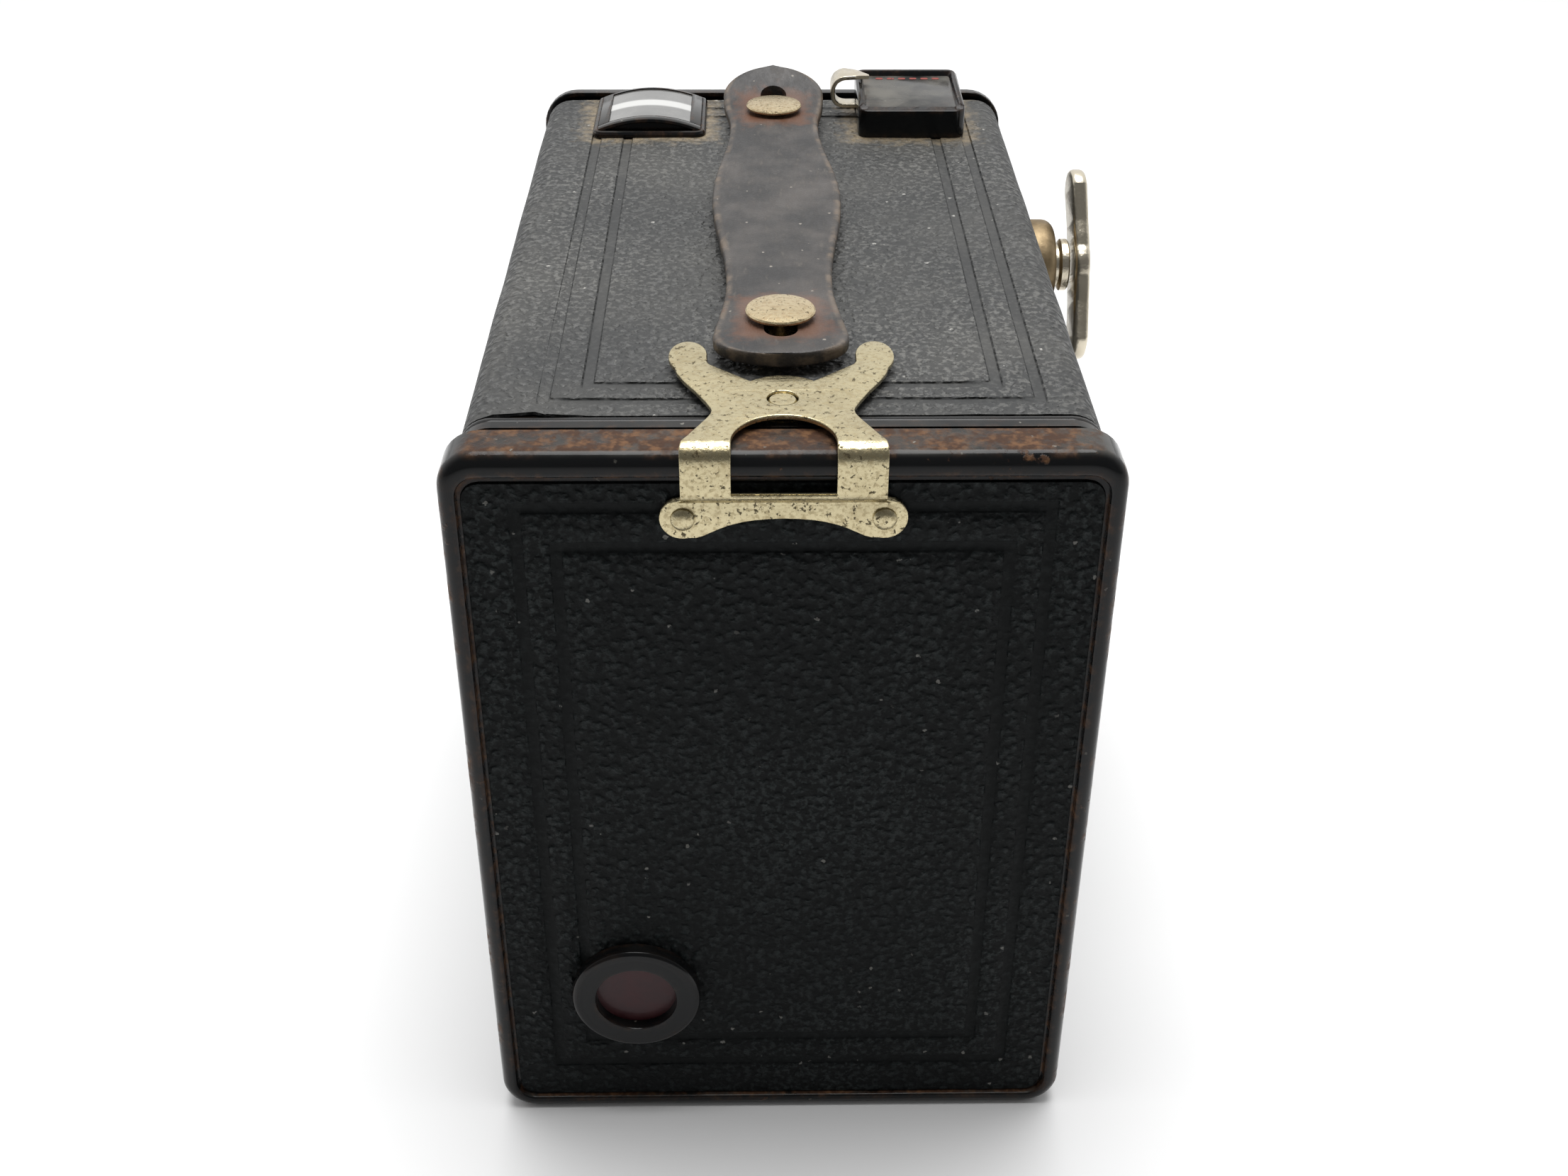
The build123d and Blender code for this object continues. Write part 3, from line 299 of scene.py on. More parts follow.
def leathercloth(name, base, crest_colour, fleck, film, halos=(), grain=900.0, shine=0.5):
    """Pebble-grained black leathercloth with rubbed crests; the strips pressed into it are smoother."""
    w, connect = material(name, Specular_IOR_Level=shine)
    pebbles = w.group(PEBBLES, Scale=grain)["Height"]
    open_grain = w.between(w.stored("pressed"), 0.0, 1.0, 1.0, 0.25)
    crest = w.calc("MULTIPLY", w.between(pebbles, 0.2, 0.75), open_grain)
    rubbed = w.mask(PATCHES, Scale=1100.0, Amount=0.50, Softness=0.10)
    worn_area = w.between(w.noise(28.0, 4.0), 0.35, 0.68, 0.25, 1.0)
    flecks = w.calc("MULTIPLY", rubbed, worn_area, open_grain)
    cloth = w.mix(flecks, w.mix(crest, base, crest_colour), fleck)
    lying = w.group(DUST, Film_scale=35.0, Speck_scale=700.0, Amount=film)
    colour = w.mix(w.calc("MULTIPLY", lying["Film"], 0.5), cloth, GREY_DUST)
    for centre, half, fade in halos:
        near = w.mask(HALO, Centre=centre, Half_size=half, Reach=fade)
        caked = w.calc("MULTIPLY", near, w.between(w.noise(700.0, 4.0), 0.3, 0.65, 0.2, 0.8))
        colour = w.mix(caked, colour, TAN_DIRT)
    colour = w.mix(lying["Specks"], colour, PALE_DUST)
    dull = w.between(w.calc("SUBTRACT", crest, lying["Film"]), 0.0, 1.0, 0.60, 0.40)
    relief = w.calc("MULTIPLY", pebbles, open_grain)
    return connect(Base_Color=colour, Roughness=dull, Normal=w.bump(relief, 0.0004))


def nickel(name, colour, stain, spots):
    """Old nickel plate: yellowed, softly dulled by handling, with small dark pits."""
    w, connect = material(name, Metallic=1.0)
    clouds = w.mask(PATCHES, Scale=130.0, Amount=0.5, Softness=0.3)
    freckles = w.mask(PATCHES, Scale=1600.0, Amount=spots, Softness=0.16)
    pits = w.mask(PATCHES, Scale=1500.0, Amount=spots * 0.72, Softness=0.05)
    plate = w.mix(w.calc("MULTIPLY", clouds, 0.4), colour, stain)
    freckled = w.mix(w.calc("MULTIPLY", freckles, 0.5), plate, stain)
    tone = w.mix(w.calc("MULTIPLY", pits, 0.85), freckled, (0.04, 0.03, 0.017, 1))
    dull = w.between(w.calc("ADD", pits, w.calc("MULTIPLY", freckles, 0.4)), 0.0, 1.0, 0.27, 0.6)
    height = w.calc("ADD", w.calc("MULTIPLY", w.noise(2200.0), 0.6), w.calc("MULTIPLY", w.noise(150.0), 0.4))
    return connect(Base_Color=tone, Roughness=dull, Normal=w.bump(height, 0.00008))


def plain_metal(name, colour, stain, roughness, amount=0.3):
    w, connect = material(name, Metallic=1.0)
    clouds = w.mask(PATCHES, Scale=140.0, Amount=amount, Softness=0.25)
    dull = w.between(w.noise(400.0, 4.0), 0.3, 0.7, roughness, roughness + 0.15)
    fine = w.bump(w.noise(1800.0), 0.00003)
    return connect(Base_Color=w.mix(clouds, colour, stain), Roughness=dull, Normal=fine)


def strap_leather():
    """Smooth dark leather, rubbed paler on its edges and cracked by bending, stained round the studs."""
    w, connect = material("strap leather", Specular_IOR_Level=0.45)
    creases = w.noise(900.0, 5.0, coords=w.stretched(1.0, 0.28, 1.0), roughness=0.7)
    clouds = w.mask(PATCHES, Scale=70.0, Amount=0.5, Softness=0.3)
    hide = w.mix(clouds, (0.018, 0.017, 0.017, 1), (0.036, 0.032, 0.030, 1))
    hide = w.mix(w.between(creases, 0.55, 0.75), hide, (0.075, 0.068, 0.060, 1))
    broken = w.between(w.noise(350.0, 5.0), 0.42, 0.62, 0.1, 0.75)
    rubbed = w.calc("MULTIPLY", w.between(w.stored("edge"), 0.3, 1.0), broken)
    colour = w.mix(rubbed, hide, (0.15, 0.11, 0.075, 1))
    for depth in STUD_DEPTHS:
        near = w.mask(HALO, Centre=row(0, depth, STRAP_TOP), Half_size=(0.0040, 0.0050, 0.003), Reach=0.0035)
        colour = w.mix(w.calc("MULTIPLY", near, 0.75), colour, (0.13, 0.045, 0.014, 1))
    lying = w.group(DUST, Film_scale=120.0, Speck_scale=900.0, Amount=0.35)
    colour = w.mix(lying["Film"], colour, (0.15, 0.13, 0.115, 1))
    colour = w.mix(lying["Specks"], colour, (0.3, 0.27, 0.23, 1))
    height = w.calc("ADD", w.calc("MULTIPLY", creases, 0.6), w.calc("MULTIPLY", w.noise(3000.0), 0.25))
    return connect(Base_Color=colour, Roughness=w.between(creases, 0.35, 0.7, 0.44, 0.60),
                   Normal=w.bump(height, 0.00022))


def clear_glass():
    w, connect = material("lens glass", Base_Color=(0.93, 0.96, 0.96, 1), Transmission_Weight=0.9, IOR=1.5)
    return connect(Roughness=w.between(w.noise(300.0, 4.0), 0.4, 0.8, 0.02, 0.14))


def viewing_glass():
    """Greyed ground glass of the finders, with a painted highlight: a pale band across the glass."""
    w, connect = material("viewing glass", Coat_Weight=0.6, Coat_Roughness=0.05, Specular_IOR_Level=0.5)
    clouds = w.between(w.noise(220.0, 4.0), 0.3, 0.75)
    scratches = w.mask(PATCHES, Scale=900.0, Amount=0.2, Softness=0.1)
    # Painted highlight: a pale band across the glass, about 120.6 mm from the door's rear face.
    past = w.calc("SUBTRACT", w.part(w.place(), "Y"), row(0, 120.6, 0).y, clamp=False)
    painted_highlight = w.between(w.calc("ABSOLUTE", past, clamp=False), 0.0010, 0.0019, 1.0, 0.0)
    colour = w.mix(clouds, (0.105, 0.104, 0.10, 1), (0.17, 0.168, 0.16, 1))
    colour = w.mix(w.calc("MULTIPLY", scratches, 0.3), colour, (0.30, 0.29, 0.27, 1))
    # The painted highlight lightens the glass to pale grey inside the band.
    colour = w.mix(w.calc("MULTIPLY", painted_highlight, 0.85), colour, (0.62, 0.62, 0.60, 1))
    return connect(Base_Color=colour, Roughness=w.between(clouds, 0.0, 1.0, 0.12, 0.26))


def ruby_celluloid():
    w, connect = material("ruby celluloid", Coat_Weight=0.15, Specular_IOR_Level=0.25)
    clouds = w.noise(400.0, 4.0)
    colour = w.mix(w.between(clouds, 0.3, 0.7), (0.030, 0.006, 0.008, 1), (0.046, 0.011, 0.013, 1))
    return connect(Base_Color=colour, Roughness=w.between(clouds, 0.3, 0.7, 0.3, 0.5))


def inner_black():
    w, connect = material("matt black paint", Specular_IOR_Level=0.3)
    rubbed = w.mask(WEAR, Radius=0.0006, Break_scale=500.0, Amount=0.6)
    lying = w.group(DUST, Film_scale=120.0, Speck_scale=500.0, Amount=0.25)
    paint = w.mix(lying["Film"], (0.010, 0.010, 0.011, 1), (0.06, 0.056, 0.05, 1))
    colour = w.mix(rubbed, paint, (0.16, 0.15, 0.14, 1))
    return connect(Base_Color=colour, Roughness=w.between(w.noise(700.0), 0.3, 0.7, 0.55, 0.75),
                   Normal=w.bump(w.noise(2500.0), 0.00004))


def spool_wood():
    """Turned beech with its long grain along the spool."""
    w, connect = material("spool wood", Specular_IOR_Level=0.4)
    grain = w.noise(900.0, 5.0, coords=w.stretched(0.06, 1.0, 1.0))
    colour = w.mix(w.between(grain, 0.3, 0.7), (0.30, 0.17, 0.08, 1), (0.46, 0.29, 0.15, 1))
    return connect(Base_Color=colour, Roughness=w.between(grain, 0.3, 0.7, 0.4, 0.6),
                   Normal=w.bump(grain, 0.00008))


def silvered():
    w, connect = material("silvered mirror", Metallic=1.0)
    spots = w.mask(PATCHES, Scale=300.0, Amount=0.2, Softness=0.1)
    return connect(Base_Color=w.mix(spots, (0.82, 0.84, 0.85, 1), (0.3, 0.28, 0.24, 1)),
                   Roughness=w.between(spots, 0.0, 1.0, 0.04, 0.3))


def red_paint():
    w, connect = material("worn red paint")
    worn = w.mask(PATCHES, Scale=1500.0, Amount=0.4, Softness=0.1)
    return connect(Base_Color=w.mix(worn, (0.23, 0.03, 0.02, 1), (0.03, 0.018, 0.015, 1)),
                   Roughness=w.between(worn, 0.0, 1.0, 0.4, 0.6))


# Dirt caked round the top finder and the close-up housing: middle, half size, fade
DIRT = ((row(FINDER_X, 119.8, TOP), (0.0095, 0.0098, 0.002), 0.0035),
        (row(middle("portrait_housing", 0), middle("portrait_housing", 1) - REAR, TOP),
         (0.009, 0.0095, 0.002), 0.0038))
FINISH = {
    "black_enamel": black_enamel(rust=0.14, film=0.10, wear=0.4),
    "leatherette": leathercloth("body leathercloth", (0.016, 0.017, 0.017, 1), (0.042, 0.043, 0.042, 1),
                                (0.108, 0.107, 0.100, 1), 0.30, halos=DIRT),
    "strap_leather": strap_leather(),
    "nickel": nickel("tarnished nickel", (0.56, 0.49, 0.31, 1), (0.25, 0.19, 0.095, 1), 0.55),
    "brass": plain_metal("aged brass", (0.29, 0.22, 0.13, 1), (0.14, 0.10, 0.055, 1), 0.45, 0.6),
    "inner_black": inner_black(),
    "bare_steel": plain_metal("bare steel", (0.46, 0.46, 0.47, 1), (0.20, 0.17, 0.14, 1), 0.25),
    "lens_glass": clear_glass(),
    "finder_glass": viewing_glass(),
    "mirror": silvered(),
    "ruby_celluloid": ruby_celluloid(),
    "spool_wood": spool_wood(),
    "label_black": black_enamel("label enamel", rust=0.12, film=0.62, wear=0.25),
}
# Painted shade: a copy of the body leathercloth made several times darker, standing for the shade on the door
# face, which turns away from the overhead light.
SHADED_DOOR_LEATHER = leathercloth("door leathercloth in painted shade", (0.0016, 0.0024, 0.0026, 1), (0.0085, 0.0115, 0.0118, 1),
                            (0.019, 0.023, 0.023, 1), 0.05, shine=0.12, grain=800.0)
DOOR_ENAMEL = black_enamel("door enamel", rust=0.36, film=0.25, wear=1.0, lid=0.72, kept=(
    row(0, 4, DOOR_TOP / 2), ((DOOR_HALF - 1.3) * MM, 0.02, (DOOR_TOP / 2 - 1.0) * MM)))
EYELET_ENAMEL = black_enamel("eyelet enamel", rust=0.05, film=0.05, wear=0.25)
STUD_NICKEL = nickel("stud nickel", (0.62, 0.51, 0.32, 1), (0.26, 0.17, 0.08, 1), 0.55)
KEY_NICKEL = nickel("handled nickel", (0.66, 0.60, 0.48, 1), (0.34, 0.27, 0.18, 1), 0.30)
RED_PAINT = red_paint()


def finish_frame():
    """Every node that stays from the frame takes the finish of its own slot."""
    for part in frame["record"]["subparts"]:
        node = nodes[part["node"]]
        node.data.materials.clear()
        node.data.materials.append(FINISH[part["material_slot"]])
        node.data.shade_smooth()
        node.data.set_sharp_from_angle(angle=radians(32))


# ---------------------------------------------------------------- mesh building
def dress(thing, body, finish, stands_for=(), sharp=32):
    """Gives the mesh its finish, shades it, hangs it on the body it rides on and hides the parts it stands
    for.
    """
    thing.data.materials.clear()
    thing.data.materials.append(finish)
    thing.data.shade_smooth()
    thing.data.set_sharp_from_angle(angle=radians(sharp))
    if body:
        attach(thing, body)
    if stands_for:
        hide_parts(*stands_for)
    return thing


def placed(name, data):
    """A new object in the scene."""
    thing = bpy.data.objects.new(name, data)
    bpy.context.scene.collection.objects.link(thing)
    return thing


def final_mesh(thing):
    """The mesh that a curve or an object with modifiers comes to."""
    return bpy.data.meshes.new_from_object(thing.evaluated_get(bpy.context.evaluated_depsgraph_get()))


def build(name, points, faces):
    """An object from points in millimetres of the row frame and their faces, with outward normals."""
    mesh = bpy.data.meshes.new(name)
    mesh.from_pydata([Vector(p) * MM for p in points], [], faces)
    work = bmesh.new()
    work.from_mesh(mesh)
    bmesh.ops.remove_doubles(work, verts=work.verts, dist=1e-7)
    bmesh.ops.recalc_face_normals(work, faces=work.faces)
    work.to_mesh(mesh)
    work.free()
    return placed(name, mesh)


def bands(count, pairs):
    """Faces between rings of count points; each pair names two rings to be joined."""
    return [(k * count + i, k * count + (i + 1) % count, n * count + (i + 1) % count, n * count + i)
            for k, n in pairs for i in range(count)]


def loft(name, rings):
    """A closed solid through rings of equally many points, with both ends capped."""
    count, last = len(rings[0]), len(rings) - 1
    caps = [tuple(range(count)), tuple(range(last * count, (last + 1) * count))]
    sides = bands(count, [(k, k + 1) for k in range(last)])
    return build(name, [p for ring in rings for p in ring], caps + sides)


def ring_of(name, rings):
    """Closed band: a loft whose last ring joins its first."""
    pairs = [(k, (k + 1) % len(rings)) for k in range(len(rings))]
    return build(name, [p for ring in rings for p in ring], bands(len(rings[0]), pairs))


def turned(name, profile, place, axis, steps=72):
    """A round solid: profile is (radius, distance along axis) in millimetres, from place."""
    along = Vector(axis)
    side = along.orthogonal().normalized()
    other = along.cross(side)
    rings = []
    for k in range(steps):
        angle = 2 * pi * k / steps
        out = side * cos(angle) + other * sin(angle)
        rings.append([Vector(place) + out * max(r, 0.001) + along * h for r, h in profile])
    return ring_of(name, rings)


def arc(centre, radius, start, end, steps=8):
    """Points of an arc in a plane; radius may be a pair, and angles are in degrees."""
    rx, ry = radius if isinstance(radius, tuple) else (radius, radius)
    turns = [radians(start + (end - start) * k / steps) for k in range(steps + 1)]
    return [(centre[0] + rx * cos(t), centre[1] + ry * sin(t)) for t in turns]


def rounded_rectangle(x0, x1, y0, y1, radius, steps=6):
    ends = ((x1 - radius, y1 - radius, 0), (x0 + radius, y1 - radius, 90),
            (x0 + radius, y0 + radius, 180), (x1 - radius, y0 + radius, 270))
    return [p for x, y, start in ends for p in arc((x, y), radius, start, start + 90, steps)]


def upright(outline, depth):
    """An outline of (x, z) points, standing across the box at a depth."""
    return [(x, REAR + depth, z) for x, z in outline]


def box_ring(half, low, high, corner, depth):
    """Ring of a rounded rectangle across the box, as wide as half to each side."""
    return upright(rounded_rectangle(-half, half, low, high, corner, 8), depth)


SLICE = 0.6     # millimetres between the cuts that let a plate bend


def flat_plate(name, outlines, thickness, edge, put):
    """A plate with rounded edges and holes from flat outlines; put(u, v, w) gives each point's place."""
    curve = bpy.data.curves.new(name, "CURVE")
    curve.dimensions, curve.fill_mode = "2D", "BOTH"
    curve.extrude, curve.bevel_depth, curve.bevel_resolution = thickness / 2 - edge, edge, 2
    curve.offset = -edge
    for outline in outlines:
        spline = curve.splines.new("POLY")
        spline.points.add(len(outline) - 1)
        for point, (u, v) in zip(spline.points, outline):
            point.co = (u, v, 0, 1)
        spline.use_cyclic_u = True
    holder = placed(name, curve)
    mesh = final_mesh(holder)
    bpy.data.objects.remove(holder)
    work = bmesh.new()
    work.from_mesh(mesh)
    bmesh.ops.remove_doubles(work, verts=work.verts, dist=1e-5)
    low = min(v.co.y for v in work.verts)
    high = max(v.co.y for v in work.verts)
    slices = int((high - low) / SLICE)
    for k in range(1, slices):
        parts = work.verts[:] + work.edges[:] + work.faces[:]
        line = (0, low + (high - low) * k / slices, 0)
        bmesh.ops.bisect_plane(work, geom=parts, plane_co=line, plane_no=(0, 1, 0))
    for vertex in work.verts:
        vertex.co = Vector(put(*vertex.co)) * MM
    bmesh.ops.recalc_face_normals(work, faces=work.faces)
    work.to_mesh(mesh)
    work.free()
    return placed(name, mesh)


def cut(thing, cutters):
    """Takes each cutter's volume out of thing, and removes the cutter."""
    for cutter in cutters:
        step = thing.modifiers.new("cut", "BOOLEAN")
        step.operation, step.solver, step.object = "DIFFERENCE", "EXACT", cutter
    bpy.context.view_layer.update()
    thing.data = final_mesh(thing)
    thing.modifiers.clear()
    for cutter in cutters:
        bpy.data.objects.remove(cutter)
    return thing


def block(x, depth, z):
    """A plain cutter between two x values, two depths and two heights."""
    square = ((x[0], z[0]), (x[1], z[0]), (x[1], z[1]), (x[0], z[1]))
    return loft("cutter", [upright(square, d) for d in depth])


def bore(centre, axis, radius, length):
    """A round cutter from centre along axis."""
    return turned("cutter", [(0, 0), (radius, 0), (radius, length), (0, length)], centre, axis, steps=48)


def window_hole():
    return bore((WINDOW_X, REAR - 1, WINDOW_Z), (0, 1, 0), 6.6, 6)


def lines_between(low, high, pitch, kept=()):
    """Grid lines from low to high, about pitch apart, with the kept ones exactly in place."""
    stops = sorted({low, high, *[k for k in kept if low < k < high]})
    lines = [low]
    for a, b in zip(stops, stops[1:]):
        steps = max(1, round((b - a) / pitch))
        lines += [a + (b - a) * (k + 1) / steps for k in range(steps)]
    return lines


BAND = 1.5          # width of the smooth strips pressed into the leathercloth
SHOULDER = 0.12     # half the width of a strip's sloping side
PRESSED = 0.24      # how deep the strips are pressed


def strip_lines(edges):
    """Grid lines at both sides of each strip whose middle is in edges."""
    return [e + s * BAND / 2 + t * SHOULDER for e in edges for s in (-1, 1) for t in (-1, 1)]


def strip_depth(u, v, frames):
    """1 where (u, v) lies in the strip of one of the rectangular frames (u0, u1, v0, v1), else 0."""
    deepest = 0.0
    for u0, u1, v0, v1 in frames:
        inside = min(u - u0, u1 - u, v - v0, v1 - v)
        side = (BAND / 2 - abs(inside)) / (2 * SHOULDER) + 0.5
        deepest = max(deepest, min(max(side, 0.0), 1.0))
    return deepest


def mark(thing, name, values):
    """Stores a value at each point for a finish to read, such as how far the cloth is pressed."""
    attribute = thing.data.attributes.new(name, "FLOAT", "POINT")
    attribute.data.foreach_set("value", values)


def uneven(x, y, z, size):
    """A slight unevenness of hand-laid cloth, in millimetres."""
    return size * noise.noise(Vector((x, y, z)) * 0.09)


# ---------------------------------------------------------------- leathercloth round the box
WRAP_REAR, WRAP_FRONT = (value - REAR for value in reach("body_leatherette", 1))
WRAP_CORNER = 4.5
CLOTH = 0.4
TOP_FRAMES = ((-29.7, 32.3, 14.2, 125.0), (-24.5, 27.2, 18.6, 120.6))
SIDE_FRAMES = ((8.0, 104.0, 15.0, 123.0), (13.4, 98.6, 20.4, 117.6))
LIFTED = (-31.4, 5.4)       # middle and half width of the torn place at the rear edge, along x
TEAR = 3.0                  # how far forward the cloth is torn loose there
HEM = 1.5                   # the metal left bare between the cloth and the door
SIDE_SLOTS = {"release": ((121.0, 123.2), (31.5, 46.5)), "aperture": ((118.9, 120.1), (50.0, 62.0)),
              "time": ((123.1, 124.4), (65.4, 70.6))}
BOSS_HOLE = 6.5             # radius of the holes round the tripod sockets


def wrap_section():
    """Section of the box as (x, z, out x, out z, frames, place along the side)."""
    corner = WRAP_CORNER
    top_strips = strip_lines([edge for f in TOP_FRAMES for edge in f[:2]])
    side_strips = strip_lines([edge for f in SIDE_FRAMES for edge in f[:2]])
    top_lines = lines_between(-HALF_WIDTH + corner, HALF_WIDTH - corner, 2.2, top_strips)
    side_lines = lines_between(corner, TOP - corner, 2.6, side_strips)
    section = [(x, TOP, 0, 1, TOP_FRAMES, x) for x in reversed(top_lines)]

    def turn(x, z, start):
        bow = arc((0, 0), 1, start, start + 90, 7)[1:-1]
        return [(x + corner * c, z + corner * s, c, s, (), 0) for c, s in bow]
    section += turn(-HALF_WIDTH + corner, TOP - corner, 90)
    section += [(-HALF_WIDTH, z, -1, 0, SIDE_FRAMES, z) for z in reversed(side_lines)]
    section += turn(-HALF_WIDTH + corner, corner, 180)
    section += [(x, 0, 0, -1, (), x) for x in lines_between(-HALF_WIDTH + corner, HALF_WIDTH - corner, 6.0)]
    section += turn(HALF_WIDTH - corner, corner, 270)
    section += [(HALF_WIDTH, z, 1, 0, SIDE_FRAMES, z) for z in side_lines]
    section += turn(HALF_WIDTH - corner, TOP - corner, 0)
    return section


def door_hinge_gap():
    """Cutter that clears the door's hinge under the rear edge."""
    return block((-36.8, 36.8), (WRAP_REAR - 1, 10.3), (-3, 3))


def body_wrap():
    """Leathercloth round the whole box, pressed with double frames and torn at its rear edge."""
    kept = strip_lines([edge for f in TOP_FRAMES + SIDE_FRAMES for edge in f[2:]])
    rear = WRAP_REAR + HEM
    depths = lines_between(rear, rear + TEAR, 0.6) + lines_between(rear + TEAR, WRAP_FRONT, 2.4, kept)[1:]
    section = wrap_section()
    rings, pressed = [], []
    for d in depths:
        ring = []
        for x, z, out_x, out_z, frames, along in section:
            sunk = strip_depth(along, d, frames)
            lift = 0.0
            torn = 1 - abs(x - LIFTED[0]) / LIFTED[1]
            if out_z == 1 and torn > 0 and d < rear + TEAR:
                ripple = 0.65 + 0.7 * noise.noise(Vector((x * 1.1, 0, 7)))
                lift = 0.42 * ripple * torn ** 0.5 * (1 - (d - rear) / TEAR) ** 1.5
            out = lift - PRESSED * sunk + (uneven(x, d, z, 0.10) - 0.08 if z > 1 else 0.0)
            ragged = 0.9 * lift + uneven(9 * x, 0, z, 0.5) if d == rear and out_z == 1 else 0.0
            ring.append((x + out_x * out, REAR + d + max(ragged, 0.0), z + out_z * out))
            pressed.append(sunk)
        rings.append(ring)
    for ring in (rings[-1], rings[0]):
        rings.append([(p[0] - s[2] * CLOTH, p[1], p[2] - s[3] * CLOTH) for p, s in zip(ring, section)])
    wrap = ring_of("body_wrap", rings)
    mark(wrap, "pressed", pressed + [0.0] * (len(wrap.data.vertices) - len(pressed)))
    side = (HALF_WIDTH - 3, HALF_WIDTH + 3)
    cutters = [block(side, depth, z) for depth, z in SIDE_SLOTS.values()]
    cutters += [block(side, (112.3, 128.0), (FINDER_Z - 7, FINDER_Z + 7)), door_hinge_gap(),
                bore((0, REAR + TRIPOD_DEPTH, -3), (0, 0, 1), BOSS_HOLE, 6),
                bore((-side[0], REAR + TRIPOD_DEPTH, AXIS_Z), (-1, 0, 0), BOSS_HOLE, 6)]
    cut(wrap, cutters)
    dress(wrap, "camera", FINISH["leatherette"], ["body_leatherette"], sharp=40)


def body_hem():
    """Bare rolled edge of the box between the cloth and the door."""
    profile = [(0.45, -0.3), (0.2, 0), (0.06, 0.3), (0, 0.7), (0.08, 1.1), (0.3, 1.4), (0.45, 2.2)]
    profile += [(0.7, 2.2), (0.7, -0.3)]
    rings = [box_ring(HALF_WIDTH - sunk, sunk, TOP - sunk, WRAP_CORNER - sunk, WRAP_REAR + depth)
             for sunk, depth in profile]
    hem = cut(ring_of("body_hem", rings), [door_hinge_gap()])
    dress(hem, "camera", EYELET_ENAMEL)


# ---------------------------------------------------------------- door
DOOR_FRAMES = ((-32.5, 32.5, 9.2, 104.4), (-27.8, 27.8, 14.3, 98.8))
PANEL = (-38.85, 38.85, 2.5, 107.9)
TOP_RIM_SHARE = 1.37        # the rim is this much wider along the top
PANEL_FRONT, PANEL_REAR = 1.1, 0.72
LIP = 6.8


def door_pan():
    """Pressed pan: rolled outer edge, flat rim, small inner roll and a sunk panel."""
    wall = 0.6
    profile = [(2.6, 1.9), (wall, 1.9), (wall, LIP), (0.12, LIP), (0, LIP - 0.2), (0, 1.9)]
    profile += [(1.6 - r, 1.8 - h) for r, h in arc((0, 0), (1.6, 1.8), 0, 90, 9)][1:]
    profile += [(1.75, 0)] + [(1.8 + r, 0.5 - h) for r, h in reversed(arc((0, 0), 0.5, 0, 90, 6))]
    profile += [(2.34, PANEL_FRONT)]
    rings = []
    for inset, depth in profile:
        top = inset * (TOP_RIM_SHARE if inset != wall else 1.0)
        corner = max(5.0 - inset, 1.6)
        rings.append(box_ring(DOOR_HALF - inset, inset, DOOR_TOP - top, corner, depth))
    pan = loft("door_pan", rings)
    cut(pan, [window_hole(), block((-31, 31), (LIP - 0.9, LIP + 1), (-1, 3.4))])
    return dress(pan, "door", DOOR_ENAMEL, ["door_shell"])


def door_panel():
    """Leathercloth on the door, with two frames of smooth strips pressed into it."""
    x0, x1, z0, z1 = PANEL
    corner = 2.4
    rounding = (0.1, 0.4, 0.9, 1.5, corner)
    across = [x for step in rounding for x in (x0 + step, x1 - step)]
    upward = [z for step in rounding for z in (z0 + step, z1 - step)]
    xs = lines_between(x0, x1, 2.2, strip_lines([e for f in DOOR_FRAMES for e in f[:2]]) + across)
    zs = lines_between(z0, z1, 2.2, strip_lines([e for f in DOOR_FRAMES for e in f[2:]]) + upward)
    points, pressed = [], []
    for layer, depth in ((0, PANEL_REAR), (1, PANEL_FRONT)):
        for z in zs:
            for x in xs:
                px, pz = x, z
                cx = max(x0 + corner - x, x - x1 + corner, 0)
                cz = max(z0 + corner - z, z - z1 + corner, 0)
                if cx > 0 and cz > 0:
                    shrink = max(cx, cz) / sqrt(cx * cx + cz * cz)
                    px -= (1 - shrink) * cx * (1 if x > 0 else -1)
                    pz -= (1 - shrink) * cz * (1 if z > AXIS_Z else -1)
                sunk = 0.0 if layer else strip_depth(x, z, DOOR_FRAMES)
                rolled = 0.2 if not layer and min(x - x0, x1 - x, z - z0, z1 - z) < 0.05 else 0.0
                rise = 0.0 if layer else 0.8 * PRESSED * sunk + rolled + uneven(x, 40, z, 0.05)
                points.append((px, REAR + depth + rise, pz))
                pressed.append(sunk)
    wide, tall = len(xs), len(zs)
    behind = wide * tall
    faces = []
    for k in range(tall - 1):
        for i in range(wide - 1):
            a = k * wide + i
            faces.append((a, a + 1, a + wide + 1, a + wide))
            faces.append((behind + a + wide, behind + a + wide + 1, behind + a + 1, behind + a))
    rim = ([i for i in range(wide)] + [k * wide + wide - 1 for k in range(1, tall)]
           + [behind - 1 - i for i in range(1, wide)] + [k * wide for k in range(tall - 2, 0, -1)])
    for a, b in zip(rim, rim[1:] + rim[:1]):
        faces.append((b, a, behind + a, behind + b))
    panel = build("door_panel", points, faces)
    mark(panel, "pressed", pressed)
    cut(panel, [window_hole()])
    # The door's leathercloth is the darkened copy, with the door face's shade painted into its colour.
    return dress(panel, "door", SHADED_DOOR_LEATHER, ["door_leatherette"], sharp=40)


def window_eyelet():
    """Enamelled ring with a flat face and a rolled outer edge, spread over inside the door."""
    hole, outer = 5.7, 9.2
    profile = [(hole, 1.0), (hole + 0.15, 1.25), (hole + 0.5, 1.35), (7.5, 1.25), (7.9, 1.3)]
    profile += [(8.4 + r, 0.7 + h) for r, h in reversed(arc((0, 0), (0.8, 0.68), 0, 90, 7))]
    profile += [(outer, -0.7), (6.6, -0.7), (6.6, -1.9), (7.6, -1.9), (7.6, -2.3)]
    profile += [(hole + 0.1, -2.3), (hole, -1.9)]
    ring = turned("window_eyelet", profile, (WINDOW_X, REAR, WINDOW_Z), (0, -1, 0), steps=96)
    return dress(ring, "door", EYELET_ENAMEL, ["window_bezel"])


